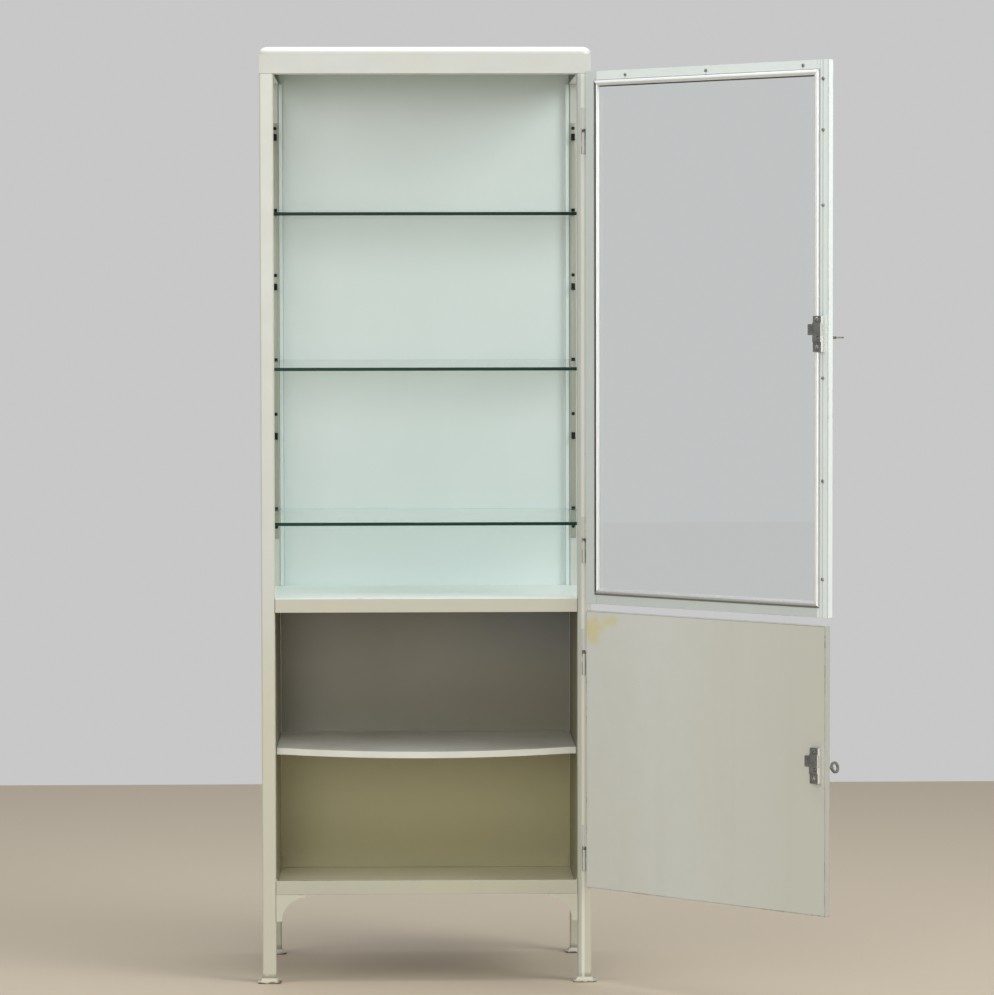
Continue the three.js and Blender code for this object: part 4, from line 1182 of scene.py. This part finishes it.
class CABINET_OT_stage(bpy.types.Operator):
    """Lay the floor, hang the lights and set the camera"""

    bl_idname = "cabinet.stage"
    bl_label = "Stage"

    def execute(self, context):
        self.floor()
        self.lights()
        self.world()
        self.camera()
        context.scene.view_settings.view_transform = "Standard"
        return {"FINISHED"}

    def floor(self):
        """A plain floor that takes the shadow."""
        material, tree, shader = new_material("stage_floor")
        fill(tree, shader, {"Base Color": colours().floor, "Roughness": 0.6})
        bm = bmesh.new()
        bmesh.ops.create_grid(bm, x_segments=1, y_segments=1, size=1.0)
        bmesh.ops.scale(bm, vec=FLOOR_HALF, verts=bm.verts)
        middle_y = stage_settings().floor_depth - FLOOR_HALF[1]
        bmesh.ops.translate(bm, vec=(0, middle_y, -FLOOR_DROP), verts=bm.verts)
        floor = add_mesh("stage_floor", bm, [material])

    def lights(self):
        """Four soft lights aimed at the middle of the cabinet."""
        wanted = stage_settings()
        for name, place, size, power in (
                ("key_light", (3.4, -2.0, 3.1), 2.4, wanted.key_power),
                ("fill_light", (-3.0, -1.6, 2.8), 2.4, wanted.fill_power),
                ("top_light", (0.3, -0.2, 4.2), 2.2, wanted.top_power),
                ("front_light", (-0.4, -6.0, 1.7), 2.6, wanted.front_power)):
            data = bpy.data.lights.new(name, "AREA")
            data.shape = "DISK"
            data.size = size
            data.energy = power
            lamp = add_object(name, data)
            lamp.location = place
            aim = Vector(LIGHT_AIM) - Vector(place)
            lamp.rotation_euler = aim.to_track_quat("-Z", "Y").to_euler()

    def world(self):
        """A plain backdrop for whatever looks at it, and a soft white light for the rest."""
        world = bpy.data.worlds.new("plain_studio")
        world.use_nodes = True
        tree = world.node_tree
        seen = tree.nodes["Background"]
        fill(tree, seen, {"Color": colours().backdrop})
        path = add_node(tree, "ShaderNodeLightPath").outputs
        rays = ("Is Camera Ray", "Is Glossy Ray", "Is Transmission Ray")
        looks = largest(tree, [path[ray] for ray in rays])
        white = {"Color": (1.0, 1.0, 1.0), "Strength": stage_settings().ambient}
        lit = add_node(tree, "ShaderNodeBackground", white)
        mixed = add_node(tree, "ShaderNodeMixShader", {0: looks, 1: lit.outputs[0], 2: seen.outputs[0]})
        fill(tree, tree.nodes["World Output"], {"Surface": mixed.outputs[0]})
        bpy.context.scene.world = world

    def camera(self):
        """The camera as it was fitted to the edges of the object."""
        wanted = stage_settings()
        data = bpy.data.cameras.new("camera")
        data.sensor_fit = "HORIZONTAL"
        data.sensor_width = SENSOR_WIDTH
        data.lens = wanted.camera_lens
        data.clip_end = 100.0
        camera = add_object("camera", data)
        pitch, yaw = wanted.camera_pitch, wanted.camera_yaw
        level = math.cos(pitch)
        look = Vector((math.sin(yaw) * level, math.cos(yaw) * level, -math.sin(pitch)))
        aimed = look.to_track_quat("-Z", "Y").to_matrix().to_4x4()
        turn = aimed @ Matrix.Rotation(wanted.camera_roll, 4, "Z")
        camera.matrix_world = Matrix.Translation(wanted.camera_place) @ turn
        bpy.context.scene.camera = camera


class CABINET_PT_panel(bpy.types.Panel):
    """Lists what the cabinet is dressed with"""

    bl_label = "Medical cabinet"
    bl_idname = "CABINET_PT_panel"
    bl_space_type = "VIEW_3D"
    bl_region_type = "UI"
    bl_category = "Cabinet"

    def draw(self, context):
        for operator in OPERATORS:
            self.layout.operator(operator.bl_idname)


SETTINGS = {
    "cabinet_sizes": CabinetSizes,
    "cabinet_colours": CabinetColours,
    "cabinet_stage": CabinetStage,
}
OPERATORS = (
    CABINET_OT_stage,
    CABINET_OT_finishes,
    CABINET_OT_top_cap,
    CABINET_OT_shelves,
    CABINET_OT_clips,
    CABINET_OT_beads,
    CABINET_OT_screws,
)
CLASSES = (*SETTINGS.values(), *OPERATORS, CABINET_PT_panel)


def register():
    """Make the settings, the operators and the panel known."""
    for kind in CLASSES:
        bpy.utils.register_class(kind)
    for name, group in SETTINGS.items():
        setattr(bpy.types.Scene, name, bpy.props.PointerProperty(type=group))


def unregister():
    """Take the panel, the operators and the settings away again."""
    for name in SETTINGS:
        delattr(bpy.types.Scene, name)
    for kind in reversed(CLASSES):
        bpy.utils.unregister_class(kind)


def main():
    """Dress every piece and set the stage."""
    register()
    for operator in OPERATORS:
        group, name = operator.bl_idname.split(".")
        getattr(getattr(bpy.ops, group), name)()


if __name__ == "__main__":
    main()
